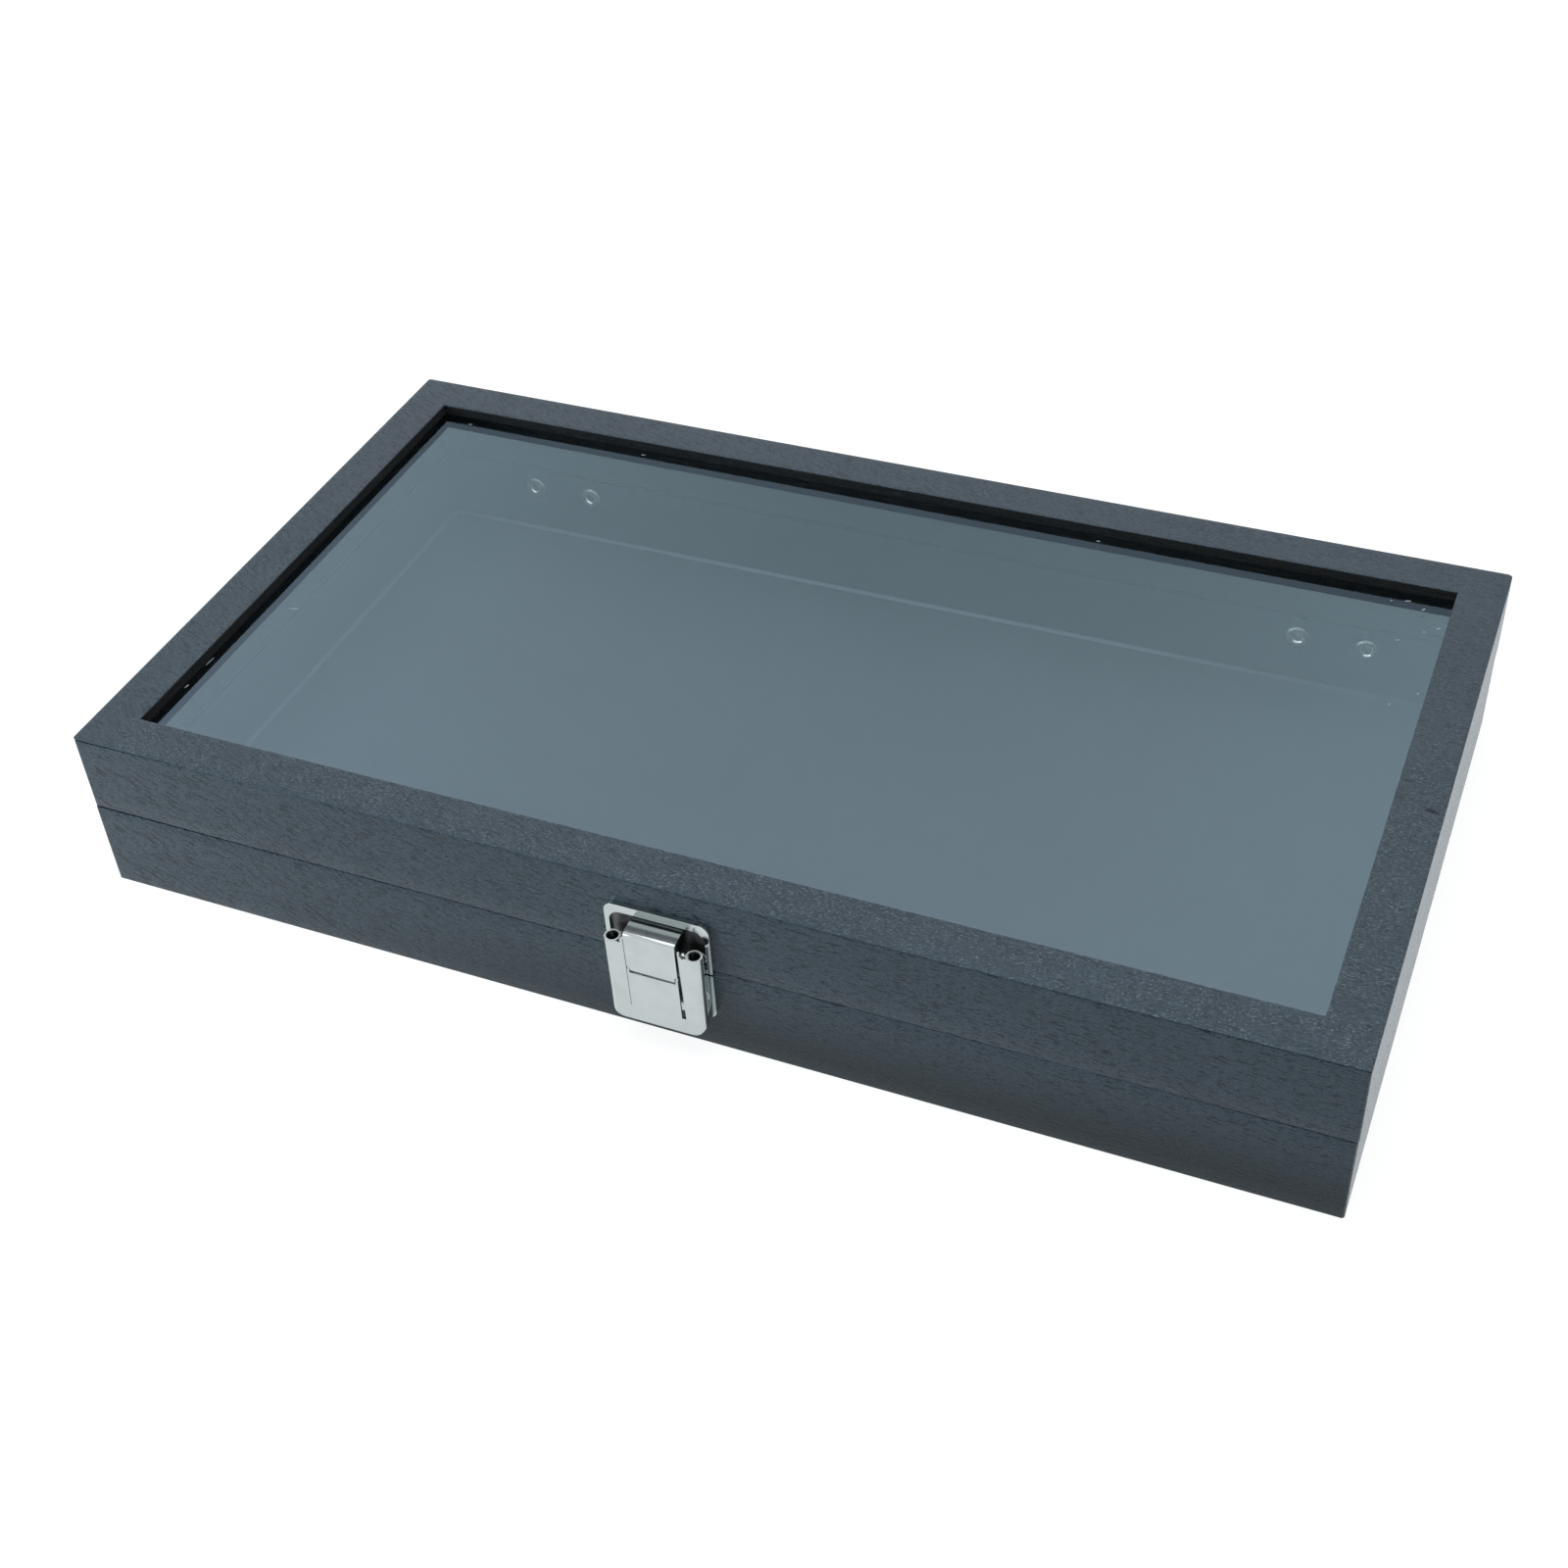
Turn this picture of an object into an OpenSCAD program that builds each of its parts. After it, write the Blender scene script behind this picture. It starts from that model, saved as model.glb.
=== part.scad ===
// Glass-top jewelry display case: a leatherette-covered wooden tray with a
// hinged, glazed lid, two riveted rear hinges and a nickel draw catch in front.
// Millimetres. Origin at the centre of the underside, +X right, +Y to the rear, +Z up.

/* [Case] */
// Outside width of the case
case_w = 375; // [320:1:450]
// Outside depth of the case, front to rear
case_d = 210; // [160:1:280]
// Outside height of the closed case
case_h = 56; // [52:0.5:75]
// Height of the lower tray
base_h = 29.35; // [26:0.05:32]
// Gap between the tray and the closed lid
seam_gap = 0.3; // [0.2:0.05:0.6]
// Full thickness of a side wall, covering and lining included
wall_t = 7; // [6:0.1:9]
// Width of the top rim round the glass
rim_w = 14; // [12:0.5:25]
// Radius of the upright outer corners
corner_r = 1.2; // [0.8:0.1:2]

/* [Boards and glass] */
// Thickness of the bottom board
bottom_t = 2.4; // [2:0.1:4]
// Thickness of the flocked floor pad
floor_t = 1.2; // [1:0.1:3]
// Thickness of the boards of the top frame
frame_t = 3; // [2.5:0.1:6]
// Thickness of the glass
glass_t = 3; // [2:0.1:4]
// Gap between the edge of the glass and the lid rails
glass_play = 0.5; // [0.2:0.1:1]
// Width of the wooden stops that hold the glass from below
stop_w = 4; // [3:0.1:5]
// Height of the glass stops
stop_h = 4.5; // [3:0.1:5]

/* [Coverings] */
// Thickness of the leatherette on the side walls
wrap_t = 0.5; // [0.4:0.05:0.8]
// Thickness of the leatherette sheets on the top frame and under the base
sheet_t = 0.4; // [0.3:0.05:0.6]
// Thickness of the lining on the inside walls
lining_t = 0.4; // [0.3:0.05:0.8]
// Gap round the floor pad
floor_play = 0.2; // [0.1:0.05:0.5]

/* [Hinges] */
// Distance from the middle of the case to the middle of the left hinge
left_hinge_x = 134.4; // [60:0.1:138]
// Distance from the middle of the case to the middle of the right hinge
right_hinge_x = 138.2; // [60:0.1:138.2]
// Length of a hinge
hinge_len = 34; // [30:0.5:40]
// Height of a leaf, from the hinge axis to its far edge
leaf_h = 13; // [12:0.5:16]
// Thickness of a leaf
leaf_t = 0.9; // [0.7:0.05:1]
// Outer radius of the knuckles
knuckle_r = 1.8; // [1.6:0.05:2]
// Length of each of the two tray knuckles of a hinge
knuckle_len = 9; // [7:0.5:10]
// Radius of the hinge pin
hinge_pin_r = 1; // [0.8:0.05:1.1]
// Gap between the knuckles and the rear of the case
knuckle_gap = 0.3; // [0.25:0.05:0.5]
// Distance between the two rivets of a leaf
hinge_rivet_pitch = 21.8; // [18:0.1:22]
// Distance from the hinge axis to the rivets
hinge_rivet_drop = 8; // [7:0.1:8]
// Outer radius of a hinge rivet's shank
hinge_shank_r = 2; // [1.8:0.05:2.2]
// Radius of the hole up a hinge rivet
hinge_hollow_r = 1.6; // [1.2:0.05:1.7]
// Radius of the rolled end of a hinge rivet, inside the case
hinge_roll_r = 3.75; // [3:0.05:4]

/* [Catch] */
// Width of the two catch plates
plate_w = 31; // [30:0.5:36]
// Height of the keeper plate on the lid
keeper_h = 17.5; // [16.5:0.1:18]
// Height of the catch plate on the tray
catch_h = 16.6; // [15:0.1:17]
// How far the two plates stand out from the case
plate_proud = 1.7; // [1.5:0.05:1.8]
// Thickness of the plates' sheet metal
plate_t = 0.7; // [0.5:0.05:0.8]
// Corner radius of the plates
plate_r = 3; // [2:0.1:4]
// Width of the raised border at the sides and foot of the keeper plate
border_side = 1.4; // [1:0.1:1.6]
// Width of the raised border at the top of the keeper plate
border_top = 2.6; // [2:0.1:2.8]
// Corner radius of the sunk field inside the border
field_r = 3.5; // [2:0.1:4]
// How far the front of the lever stands out from the case
lever_proud = 7; // [6.9:0.05:8]
// Width of the lever over its rolled edges
lever_w = 28.8; // [28.6:0.1:30]
// Thickness of the lever's sheet metal
lever_t = 0.6; // [0.5:0.05:0.9]
// Outer radius of the lever's two rolled edges
roll_r = 2.35; // [2.2:0.05:2.4]
// How far the lever reaches below the seam
lever_drop = 19.7; // [18.5:0.1:21]
// How far the lever's rolled edges reach above the seam
lever_rise = 9.2; // [9:0.1:10]
// Height of the lever's bottom web, below the slots
web_h = 5.6; // [4.5:0.1:6]
// Corner radius of the lever's bottom edge
web_r = 4.5; // [2:0.1:5]
// Height of the horns beside the claw, above the rolled edges
horn_h = 2.2; // [1:0.1:2.3]
// Width of the claw and of the lever's spring tongue
claw_w = 15.2; // [14:0.1:15.4]
// Thickness of the claw's sheet metal
claw_t = 0.8; // [0.6:0.05:0.9]
// How far the front edge of the claw's top reaches above the seam
claw_rise = 13.3; // [13:0.1:14]
// Upward slope of the claw's top, in degrees
claw_slope = 7.5; // [0:0.5:10]
// Outer radius of the bend between the claw's front and top
claw_bend_r = 1.2; // [1:0.05:1.5]
// How far the claw's tip passes into the keeper plate
claw_reach = 1.6; // [1.2:0.05:1.65]
// Width of the slot between the tongue and the left cheek
left_slot = 0.15; // [0.1:0.05:0.6]
// Width of the slot between the tongue and the right cheek, at the top
right_slot_top = 0.7; // [0.4:0.05:1]
// Width of the slot between the tongue and the right cheek, at the bottom
right_slot_bottom = 1.3; // [0.8:0.05:1.8]
// Radius of the lever's pivot pins
pivot_r = 0.7; // [0.6:0.05:0.8]
// Outer radius of the rolled knuckle at the foot of the claw
claw_knuckle_r = 1; // [0.95:0.05:1.1]
// Radius of the claw's hinge pin
claw_pin_r = 0.45; // [0.35:0.05:0.5]
// Radius of the shank of a catch rivet
catch_shank_r = 1.25; // [1:0.05:1.4]

/* [Hidden] */
$fn = 64;

// General clearances
hole_play = 0.05;
fit_play = 0.02;
clear = 0.3;
cut = 1;

// Colours
leatherette = [0.16, 0.18, 0.21];
board = [0.62, 0.50, 0.36];
lining = [0.12, 0.13, 0.15];
flock = [0.15, 0.17, 0.19];
pane = [0.75, 0.85, 0.88, 0.35];
nickel = [0.82, 0.83, 0.83];
gunmetal = [0.42, 0.44, 0.46];
steel = [0.62, 0.63, 0.65];

// Levels
lid_z = base_h + seam_gap;
seam_z = base_h + seam_gap / 2;
board_z = sheet_t;
floor_z = board_z + bottom_t;
base_rail_top = base_h - wrap_t;
lid_rail_z = lid_z + wrap_t;
frame_top = case_h - sheet_t;
frame_z = frame_top - frame_t;
glass_z = frame_z - glass_t;
stop_z = glass_z - stop_h;

// Faces
front_y = -case_d / 2;
rear_y = case_d / 2;
rail_t = wall_t - wrap_t - lining_t;
rail_in = wrap_t + rail_t;

// Hinge places
hinge_y = rear_y + knuckle_gap + knuckle_r;
knuckle_edge = 0.4;
notch_play = 0.5;
knuckle_notch = knuckle_r + notch_play;
middle_len = hinge_len - 2 * knuckle_len;
leaf_r = 2;
pin_head_ledge = 0.4;
pin_head_r = hinge_pin_r + pin_head_ledge;
pin_head_t = 0.6;
base_hinge_rivet_z = seam_z - hinge_rivet_drop;
lid_hinge_rivet_z = seam_z + hinge_rivet_drop;
hinge_head_r = 3.4;
hinge_head_h = 0.8;
roll_h = 0.8;
hollow_depth = 5;
end_recess = roll_h + clear;
hinge_sides = [-1, 1];
// Place along X of the hinge on a side: -1 is left and 1 is right
function hinge_place(side) = side < 0 ? -left_hinge_x : right_hinge_x;

// Degrees between the points of a rivet's round outlines
arc_step = 15;

// Catch places
plate_y = front_y - plate_proud;
lever_y = front_y - lever_proud;
plate_inset = 0.2;
keeper_z = lid_z + plate_inset;
catch_top = base_h - plate_inset;
lever_z = seam_z - lever_drop;
web_top = lever_z + web_h;
lever_top = seam_z + lever_rise;
roll_x = lever_w / 2 - roll_r;
roll_y = lever_y + roll_r;
horn_w = 0.5;
horn_r = 1.8;
pivot_y = roll_y;
pivot_drop = 1.1;
pivot_z = lever_top - pivot_drop;
ear_r = roll_r - lever_t - clear;
ear_t = 0.8;
ear_x = roll_x - roll_r - clear - ear_t;
ear_foot_h = 9;
pin_spare = 0.2;
pin_reach = clear + lever_t + pin_spare;
claw_pin_drop = 0.05;
claw_pin_y = lever_y + claw_knuckle_r;
claw_pin_z = seam_z - claw_pin_drop;
knuckle_room = 0.15;
tongue_top = claw_pin_z - claw_knuckle_r - knuckle_room;
lug_w = 0.7;
lug_gap = 0.2;
lug_step = 0.1;
lug_r = claw_knuckle_r - lug_step;
lug_notch = claw_knuckle_r + knuckle_room;
claw_knuckle_w = claw_w - 2 * (lug_w + lug_gap);
claw_top = seam_z + claw_rise;
claw_side_h = 7;
claw_side_gap = 0.5;
slot_room = 0.6;
catch_head_r = 2;
catch_head_h = 0.25;
catch_roll_r = 2.6;
catch_roll_h = 0.7;
catch_hollow_r = 0.8;
catch_rivet_x = 11.9;
keeper_rivet_rise = 5;
keeper_rivet_z = seam_z + keeper_rivet_rise;
catch_rivet_drop = 8.5;
catch_rivet_z = seam_z - catch_rivet_drop;

// Where the claw's bend ends and its sloping top begins
bend_y = lever_y + claw_bend_r;
bend_z = claw_top - claw_bend_r;
top_y = bend_y - claw_bend_r * sin(claw_slope);
top_z = bend_z + claw_bend_r * cos(claw_slope);
claw_top_len = (plate_y + claw_reach - top_y) / cos(claw_slope);
// Height of the upper face of the claw's top at a given y
function claw_height(y) = top_z + (y - top_y) * tan(claw_slope);

// A box given by its lowest and highest corners
module block(low, high) {
    translate(low) cube(high - low);
}

// A cylinder along X, from x0 to x1
module bar_x(x0, x1, y, z, r) {
    translate([x0, y, z]) rotate([0, 90, 0]) cylinder(r = r, h = x1 - x0);
}

// A cylinder along Y, from y0 to y1
module bar_y(y0, y1, x, z, r) {
    translate([x, y0, z]) rotate([-90, 0, 0]) cylinder(r = r, h = y1 - y0);
}

// A rectangle centred on the origin with round corners
module rounded(w, d, r) {
    square([w - 2 * r, d], center = true);
    square([w, d - 2 * r], center = true);
    for (sx = [-1, 1], sy = [-1, 1])
        translate([sx * (w / 2 - r), sy * (d / 2 - r)]) circle(r = r);
}

// The case's outline, taken in by a margin, from z0 to z1
module case_slab(margin, z0, z1) {
    block([margin - case_w / 2, margin - case_d / 2, z0],
          [case_w / 2 - margin, case_d / 2 - margin, z1]);
}

// The case's outline with its round upright corners, from z0 to z1
module round_slab(z0, z1) {
    translate([0, 0, z0]) linear_extrude(z1 - z0) rounded(case_w, case_d, corner_r);
}

// Clearance holes for the hinge rivets through the rear wall at height z
module hinge_rivet_holes(z) {
    for (side = hinge_sides, end = [-1, 1])
        bar_y(rear_y - wall_t - cut, rear_y + knuckle_r + cut,
              hinge_place(side) + end * hinge_rivet_pitch / 2, z, hinge_shank_r + hole_play);
}

// Recesses in the lid's rear rail, under its lining, for the rolled ends of the hinge rivets
module hinge_end_recesses() {
    for (side = hinge_sides, end = [-1, 1])
        bar_y(rear_y - rail_in - cut, rear_y - rail_in + end_recess,
              hinge_place(side) + end * hinge_rivet_pitch / 2, lid_hinge_rivet_z, hinge_roll_r + clear);
}

// Clearance holes for the catch rivets through the front wall at height z
module catch_rivet_holes(z) {
    for (side = [-1, 1])
        bar_y(plate_y - cut, front_y + wall_t + cut, side * catch_rivet_x, z,
              catch_shank_r + hole_play);
}

// One of the two long rails; rear is -1 for the front rail and 1 for the rear rail
module long_rail(rear, z0, z1) {
    far = rear * (case_d / 2 - wrap_t);
    near = rear * (case_d / 2 - rail_in);
    block([wrap_t - case_w / 2, min(far, near), z0], [case_w / 2 - wrap_t, max(far, near), z1]);
}

// One of the two short rails, between the long ones
module short_rail(side, z0, z1) {
    far = side * (case_w / 2 - wrap_t);
    near = side * (case_w / 2 - rail_in);
    block([min(far, near), rail_in - case_d / 2, z0], [max(far, near), case_d / 2 - rail_in, z1]);
}

module base_front_rail() {
    color(board) difference() {
        long_rail(-1, floor_z, base_rail_top);
        catch_rivet_holes(catch_rivet_z);
    }
}

module base_rear_rail() {
    color(board) difference() {
        long_rail(1, floor_z, base_rail_top);
        hinge_rivet_holes(base_hinge_rivet_z);
    }
}

module base_side_rail(side) {
    color(board) short_rail(side, floor_z, base_rail_top);
}

module base_bottom_board() {
    color(board) case_slab(wrap_t, board_z, floor_z);
}

module base_bottom_sheet() {
    color(leatherette) round_slab(0, sheet_t);
}

// Leatherette round the tray's outside, turned in over the top edge
module base_wrap() {
    color(leatherette) difference() {
        round_slab(sheet_t, base_h);
        case_slab(wrap_t, sheet_t - cut, base_rail_top);
        case_slab(wall_t, sheet_t, base_h + cut);
        catch_rivet_holes(catch_rivet_z);
        hinge_rivet_holes(base_hinge_rivet_z);
    }
}

// Lining on the tray's inside walls, from the bottom board up to the turned-in wrap
module base_lining() {
    color(lining) difference() {
        case_slab(rail_in, floor_z, base_rail_top);
        case_slab(wall_t, floor_z - cut, base_rail_top + cut);
        catch_rivet_holes(catch_rivet_z);
        hinge_rivet_holes(base_hinge_rivet_z);
    }
}

module floor_pad() {
    color(flock) case_slab(wall_t + floor_play, floor_z, floor_z + floor_t);
}

module lid_front_rail() {
    color(board) difference() {
        long_rail(-1, lid_rail_z, frame_z);
        catch_rivet_holes(keeper_rivet_z);
    }
}

module lid_rear_rail() {
    color(board) difference() {
        long_rail(1, lid_rail_z, frame_z);
        hinge_rivet_holes(lid_hinge_rivet_z);
        hinge_end_recesses();
    }
}

module lid_side_rail(side) {
    color(board) short_rail(side, lid_rail_z, frame_z);
}

// One mitred board of the top frame: turn is 0 for the front, 90 right, 180 rear, 270 left
module top_frame_board(turn) {
    along = turn % 180 == 0 ? case_w : case_d;
    across = turn % 180 == 0 ? case_d : case_w;
    outer = along / 2 - wrap_t;
    inner = along / 2 - rim_w + sheet_t;
    color(board) rotate(turn) translate([0, 0, frame_z]) linear_extrude(frame_t)
        polygon([
            [-outer, wrap_t - across / 2],
            [outer, wrap_t - across / 2],
            [inner, rim_w - sheet_t - across / 2],
            [-inner, rim_w - sheet_t - across / 2]
        ]);
}

// Leatherette round the lid's outside, turned in under the bottom edge
module lid_side_wrap() {
    color(leatherette) difference() {
        round_slab(lid_z, frame_top);
        case_slab(wrap_t, lid_rail_z, frame_top + cut);
        case_slab(wall_t, lid_z - cut, frame_top);
        catch_rivet_holes(keeper_rivet_z);
        hinge_rivet_holes(lid_hinge_rivet_z);
    }
}

// Leatherette over the top frame, turned down into the window
module lid_top_sheet() {
    color(leatherette) difference() {
        union() {
            round_slab(frame_top, case_h);
            case_slab(rim_w - sheet_t, frame_z, case_h);
        }
        case_slab(rim_w, frame_z - cut, case_h + cut);
    }
}

// Lining on the lid's inside walls, below the glass stops
module lid_lining() {
    color(lining) difference() {
        case_slab(rail_in, lid_rail_z, stop_z);
        case_slab(wall_t, lid_rail_z - cut, stop_z + cut);
        catch_rivet_holes(keeper_rivet_z);
    }
}

module glass_pane() {
    color(pane) case_slab(rail_in + glass_play, glass_z, frame_z);
}

// One of the two long glass stops, on the lid's front or rear rail
module long_stop(rear) {
    far = rear * (case_d / 2 - rail_in);
    near = rear * (case_d / 2 - rail_in - stop_w);
    color(lining) block([rail_in - case_w / 2, min(far, near), stop_z],
                        [case_w / 2 - rail_in, max(far, near), glass_z]);
}

// One of the two short glass stops, between the long ones
module short_stop(side) {
    far = side * (case_w / 2 - rail_in);
    near = side * (case_w / 2 - rail_in - stop_w);
    end = case_d / 2 - rail_in - stop_w;
    color(lining) block([min(far, near), -end, stop_z], [max(far, near), end, glass_z]);
}

// A leaf's flat plate from the hinge axis upwards, before it is cut round the knuckles
module leaf_plate() {
    translate([0, rear_y + leaf_t, knuckle_edge]) rotate([90, 0, 0]) linear_extrude(leaf_t)
        translate([0, (leaf_h - knuckle_edge) / 2]) {
            rounded(hinge_len, leaf_h - knuckle_edge, leaf_r);
            translate([0, -leaf_r / 2])
                square([hinge_len, leaf_h - knuckle_edge - leaf_r], center = true);
        }
}

// The holes for a leaf's two rivets, up from the hinge axis
module leaf_holes() {
    for (end = [-1, 1])
        bar_y(rear_y - cut, rear_y + leaf_t + cut, end * hinge_rivet_pitch / 2,
              hinge_rivet_drop, hinge_shank_r + hole_play);
}

// Tray leaf of a hinge: the plate hangs below the axis and carries the two end knuckles
module hinge_base_leaf(side) {
    color(nickel) translate([hinge_place(side), 0, seam_z]) difference() {
        union() {
            mirror([0, 0, 1]) leaf_plate();
            for (end = [0, 1])
                mirror([end, 0, 0]) bar_x(middle_len / 2, hinge_len / 2, hinge_y, 0, knuckle_r);
        }
        mirror([0, 0, 1]) leaf_holes();
        block([-middle_len / 2 - clear, rear_y - cut, -knuckle_notch],
              [middle_len / 2 + clear, hinge_y, cut]);
        bar_x(-hinge_len, hinge_len, hinge_y, 0, hinge_pin_r + fit_play);
    }
}

// Lid leaf of a hinge: the plate stands above the axis and carries the middle knuckle
module hinge_lid_leaf(side) {
    reach = middle_len / 2 - clear;
    color(nickel) translate([hinge_place(side), 0, seam_z]) difference() {
        union() {
            leaf_plate();
            bar_x(-reach, reach, hinge_y, 0, knuckle_r);
        }
        leaf_holes();
        for (end = [0, 1]) mirror([end, 0, 0])
            block([reach, rear_y - cut, -cut], [hinge_len / 2 + cut, hinge_y, knuckle_notch]);
        bar_x(-hinge_len, hinge_len, hinge_y, 0, hinge_pin_r + hole_play);
    }
}

module hinge_pin(side) {
    color(steel) translate([hinge_place(side), 0, seam_z]) {
        bar_x(-hinge_len / 2, hinge_len / 2, hinge_y, 0, hinge_pin_r);
        for (end = [0, 1])
            mirror([end, 0, 0])
                bar_x(hinge_len / 2, hinge_len / 2 + pin_head_t, hinge_y, 0, pin_head_r);
    }
}

// A hollow rivet along Z: its domed head sits on z = 0 and its rolled end starts at z = -grip
module hollow_rivet(grip, head_r, head_h, shank_r, hollow_r, end_r, end_h, depth) {
    ring_r = (end_r + hollow_r) / 2;
    ring_w = (end_r - hollow_r) / 2;
    rotate_extrude() polygon(concat(
        [for (angle = [90:-arc_step:0]) [head_r * cos(angle), head_h * sin(angle)]],
        [[shank_r, 0], [shank_r, -grip]],
        [for (angle = [0:arc_step:180]) [ring_r + ring_w * cos(angle), -grip - end_h * sin(angle)]],
        [[hollow_r, depth - grip], [0, depth - grip]]
    ));
}

// The four rivets of the tray or lid leaves, at height z, through a wall of a given thickness
module hinge_rivets(z, wall) {
    color(gunmetal) for (side = hinge_sides, end = [-1, 1])
        translate([hinge_place(side) + end * hinge_rivet_pitch / 2, rear_y + leaf_t, z])
            rotate([-90, 0, 0])
                hollow_rivet(wall + leaf_t, hinge_head_r, hinge_head_h, hinge_shank_r,
                             hinge_hollow_r, hinge_roll_r, roll_h, hollow_depth);
}

// The two rivets of a catch plate, at height z; their heads sit a given way out from the case
module front_rivets(z, seat) {
    color(nickel) for (side = [-1, 1])
        translate([side * catch_rivet_x, front_y - seat, z]) rotate([90, 0, 0])
            hollow_rivet(wall_t + seat, catch_head_r, catch_head_h, catch_shank_r,
                         catch_hollow_r, catch_roll_r, catch_roll_h, hollow_depth);
}

// A shallow pressed cap from z = 0 up to h, with round corners at its top end only
module plate_cap(h) {
    inner_r = plate_r - plate_t;
    translate([0, front_y, 0]) rotate([90, 0, 0]) difference() {
        linear_extrude(plate_proud) cap_outline(plate_w, h, plate_r);
        translate([0, plate_t, -cut]) linear_extrude(plate_proud - plate_t + cut)
            cap_outline(plate_w - 2 * plate_t, h - 2 * plate_t, inner_r);
    }
}

// Outline of a catch plate: square at the bottom and round at the top
module cap_outline(w, h, r) {
    translate([-w / 2, 0]) square([w, h - r]);
    translate([r - w / 2, 0]) square([w - 2 * r, h]);
    for (side = [-1, 1])
        translate([side * (w / 2 - r), h - r]) intersection() {
            circle(r = r);
            translate([-r, 0]) square([2 * r, r]);
        }
}

// Keeper plate on the lid: a raised border round a sunk field, with the slot for the claw's tip
module keeper_plate() {
    field_w = plate_w - 2 * border_side;
    field_h = keeper_h - border_side - border_top;
    slot_low = claw_height(plate_y) - claw_t / cos(claw_slope) - clear;
    slot_high = claw_height(plate_y + claw_reach) + slot_room;
    color(nickel) difference() {
        translate([0, front_y, keeper_z]) rotate([90, 0, 0]) difference() {
            linear_extrude(plate_proud) cap_outline(plate_w, keeper_h, plate_r);
            translate([0, border_side, plate_t]) linear_extrude(plate_proud)
                cap_outline(field_w, field_h, field_r);
        }
        catch_rivet_holes(keeper_rivet_z);
        block([-claw_w / 2 - clear, plate_y - cut, slot_low], [claw_w / 2 + clear, front_y, slot_high]);
    }
}

// Catch plate on the tray, with two ears that stand up behind the lever's cheeks
module catch_plate() {
    ear_back = plate_y - clear;
    color(nickel) difference() {
        union() {
            translate([0, 0, catch_top]) mirror([0, 0, 1]) plate_cap(catch_h);
            for (side = [0, 1]) mirror([side, 0, 0]) {
                block([ear_x, pivot_y - ear_r, catch_top - ear_foot_h],
                      [ear_x + ear_t, plate_y, catch_top]);
                block([ear_x, pivot_y - ear_r, catch_top - ear_foot_h],
                      [ear_x + ear_t, min(pivot_y + ear_r, ear_back), pivot_z]);
                bar_x(ear_x, ear_x + ear_t, pivot_y, pivot_z, ear_r);
            }
        }
        catch_rivet_holes(catch_rivet_z);
        for (side = [0, 1]) mirror([side, 0, 0])
            bar_x(ear_x - cut, ear_x + ear_t + cut, pivot_y, pivot_z, pivot_r + fit_play);
    }
}

// Two short pins, one from each ear into the wall of a rolled edge
module lever_pins() {
    color(steel) for (side = [0, 1])
        mirror([side, 0, 0]) bar_x(ear_x, ear_x + ear_t + pin_reach, pivot_y, pivot_z, pivot_r);
}

// The lever's outline, round at its two bottom corners, from its front to behind its rolled edges
module lever_blank() {
    blank_h = lever_top + horn_h - lever_z;
    translate([0, lever_y + 2 * roll_r + cut, lever_z + blank_h]) rotate([90, 0, 0])
        linear_extrude(2 * roll_r + 2 * cut) mirror([0, 1]) cap_outline(lever_w, blank_h, web_r);
}

// One cheek of the lever: a flat strip with a horn at its top, and its rolled edge
module lever_cheek(slot_top, slot_bottom) {
    inner_top = claw_w / 2 + slot_top;
    inner_bottom = claw_w / 2 + slot_bottom;
    horn_x = inner_top + horn_w;
    translate([0, lever_y + lever_t, 0]) rotate([90, 0, 0]) linear_extrude(lever_t)
        difference() {
            polygon([
                [inner_bottom, web_top],
                [inner_bottom, lever_z],
                [roll_x, lever_z],
                [roll_x, lever_top],
                [horn_x + horn_r, lever_top],
                [horn_x + horn_r, lever_top + horn_h],
                [inner_top, lever_top + horn_h]
            ]);
            translate([horn_x + horn_r, lever_top + horn_r]) circle(r = horn_r);
            translate([horn_x, lever_top + horn_r]) square([horn_r + cut, horn_h]);
        }
    difference() {
        translate([roll_x, roll_y, lever_z]) cylinder(r = roll_r, h = lever_top - lever_z);
        translate([roll_x, roll_y, lever_z - cut])
            cylinder(r = roll_r - lever_t, h = lever_top - lever_z + 2 * cut);
        bar_x(roll_x - roll_r - cut, roll_x, pivot_y, pivot_z, pivot_r + hole_play);
    }
}

// Lever: two rolled cheeks and a spring tongue, joined by the bottom web
module latch_lever() {
    color(nickel) {
        intersection() {
            union() {
                lever_cheek(right_slot_top, right_slot_bottom);
                mirror([1, 0, 0]) lever_cheek(left_slot, left_slot);
                block([-roll_x, lever_y, lever_z], [roll_x, lever_y + lever_t, web_top]);
                block([-claw_w / 2, lever_y, web_top - cut], [claw_w / 2, lever_y + lever_t, tongue_top]);
            }
            lever_blank();
        }
        for (side = [0, 1]) mirror([side, 0, 0]) difference() {
            union() {
                block([claw_w / 2 - lug_w, lever_y, tongue_top - cut],
                      [claw_w / 2, lever_y + lever_t, claw_pin_z]);
                bar_x(claw_w / 2 - lug_w, claw_w / 2, claw_pin_y, claw_pin_z, lug_r);
            }
            bar_x(claw_w / 2 - lug_w - cut, claw_w / 2 + cut, claw_pin_y, claw_pin_z,
                  claw_pin_r + fit_play);
        }
    }
}

module claw_pin() {
    color(steel) bar_x(-claw_w / 2, claw_w / 2, claw_pin_y, claw_pin_z, claw_pin_r);
}

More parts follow.
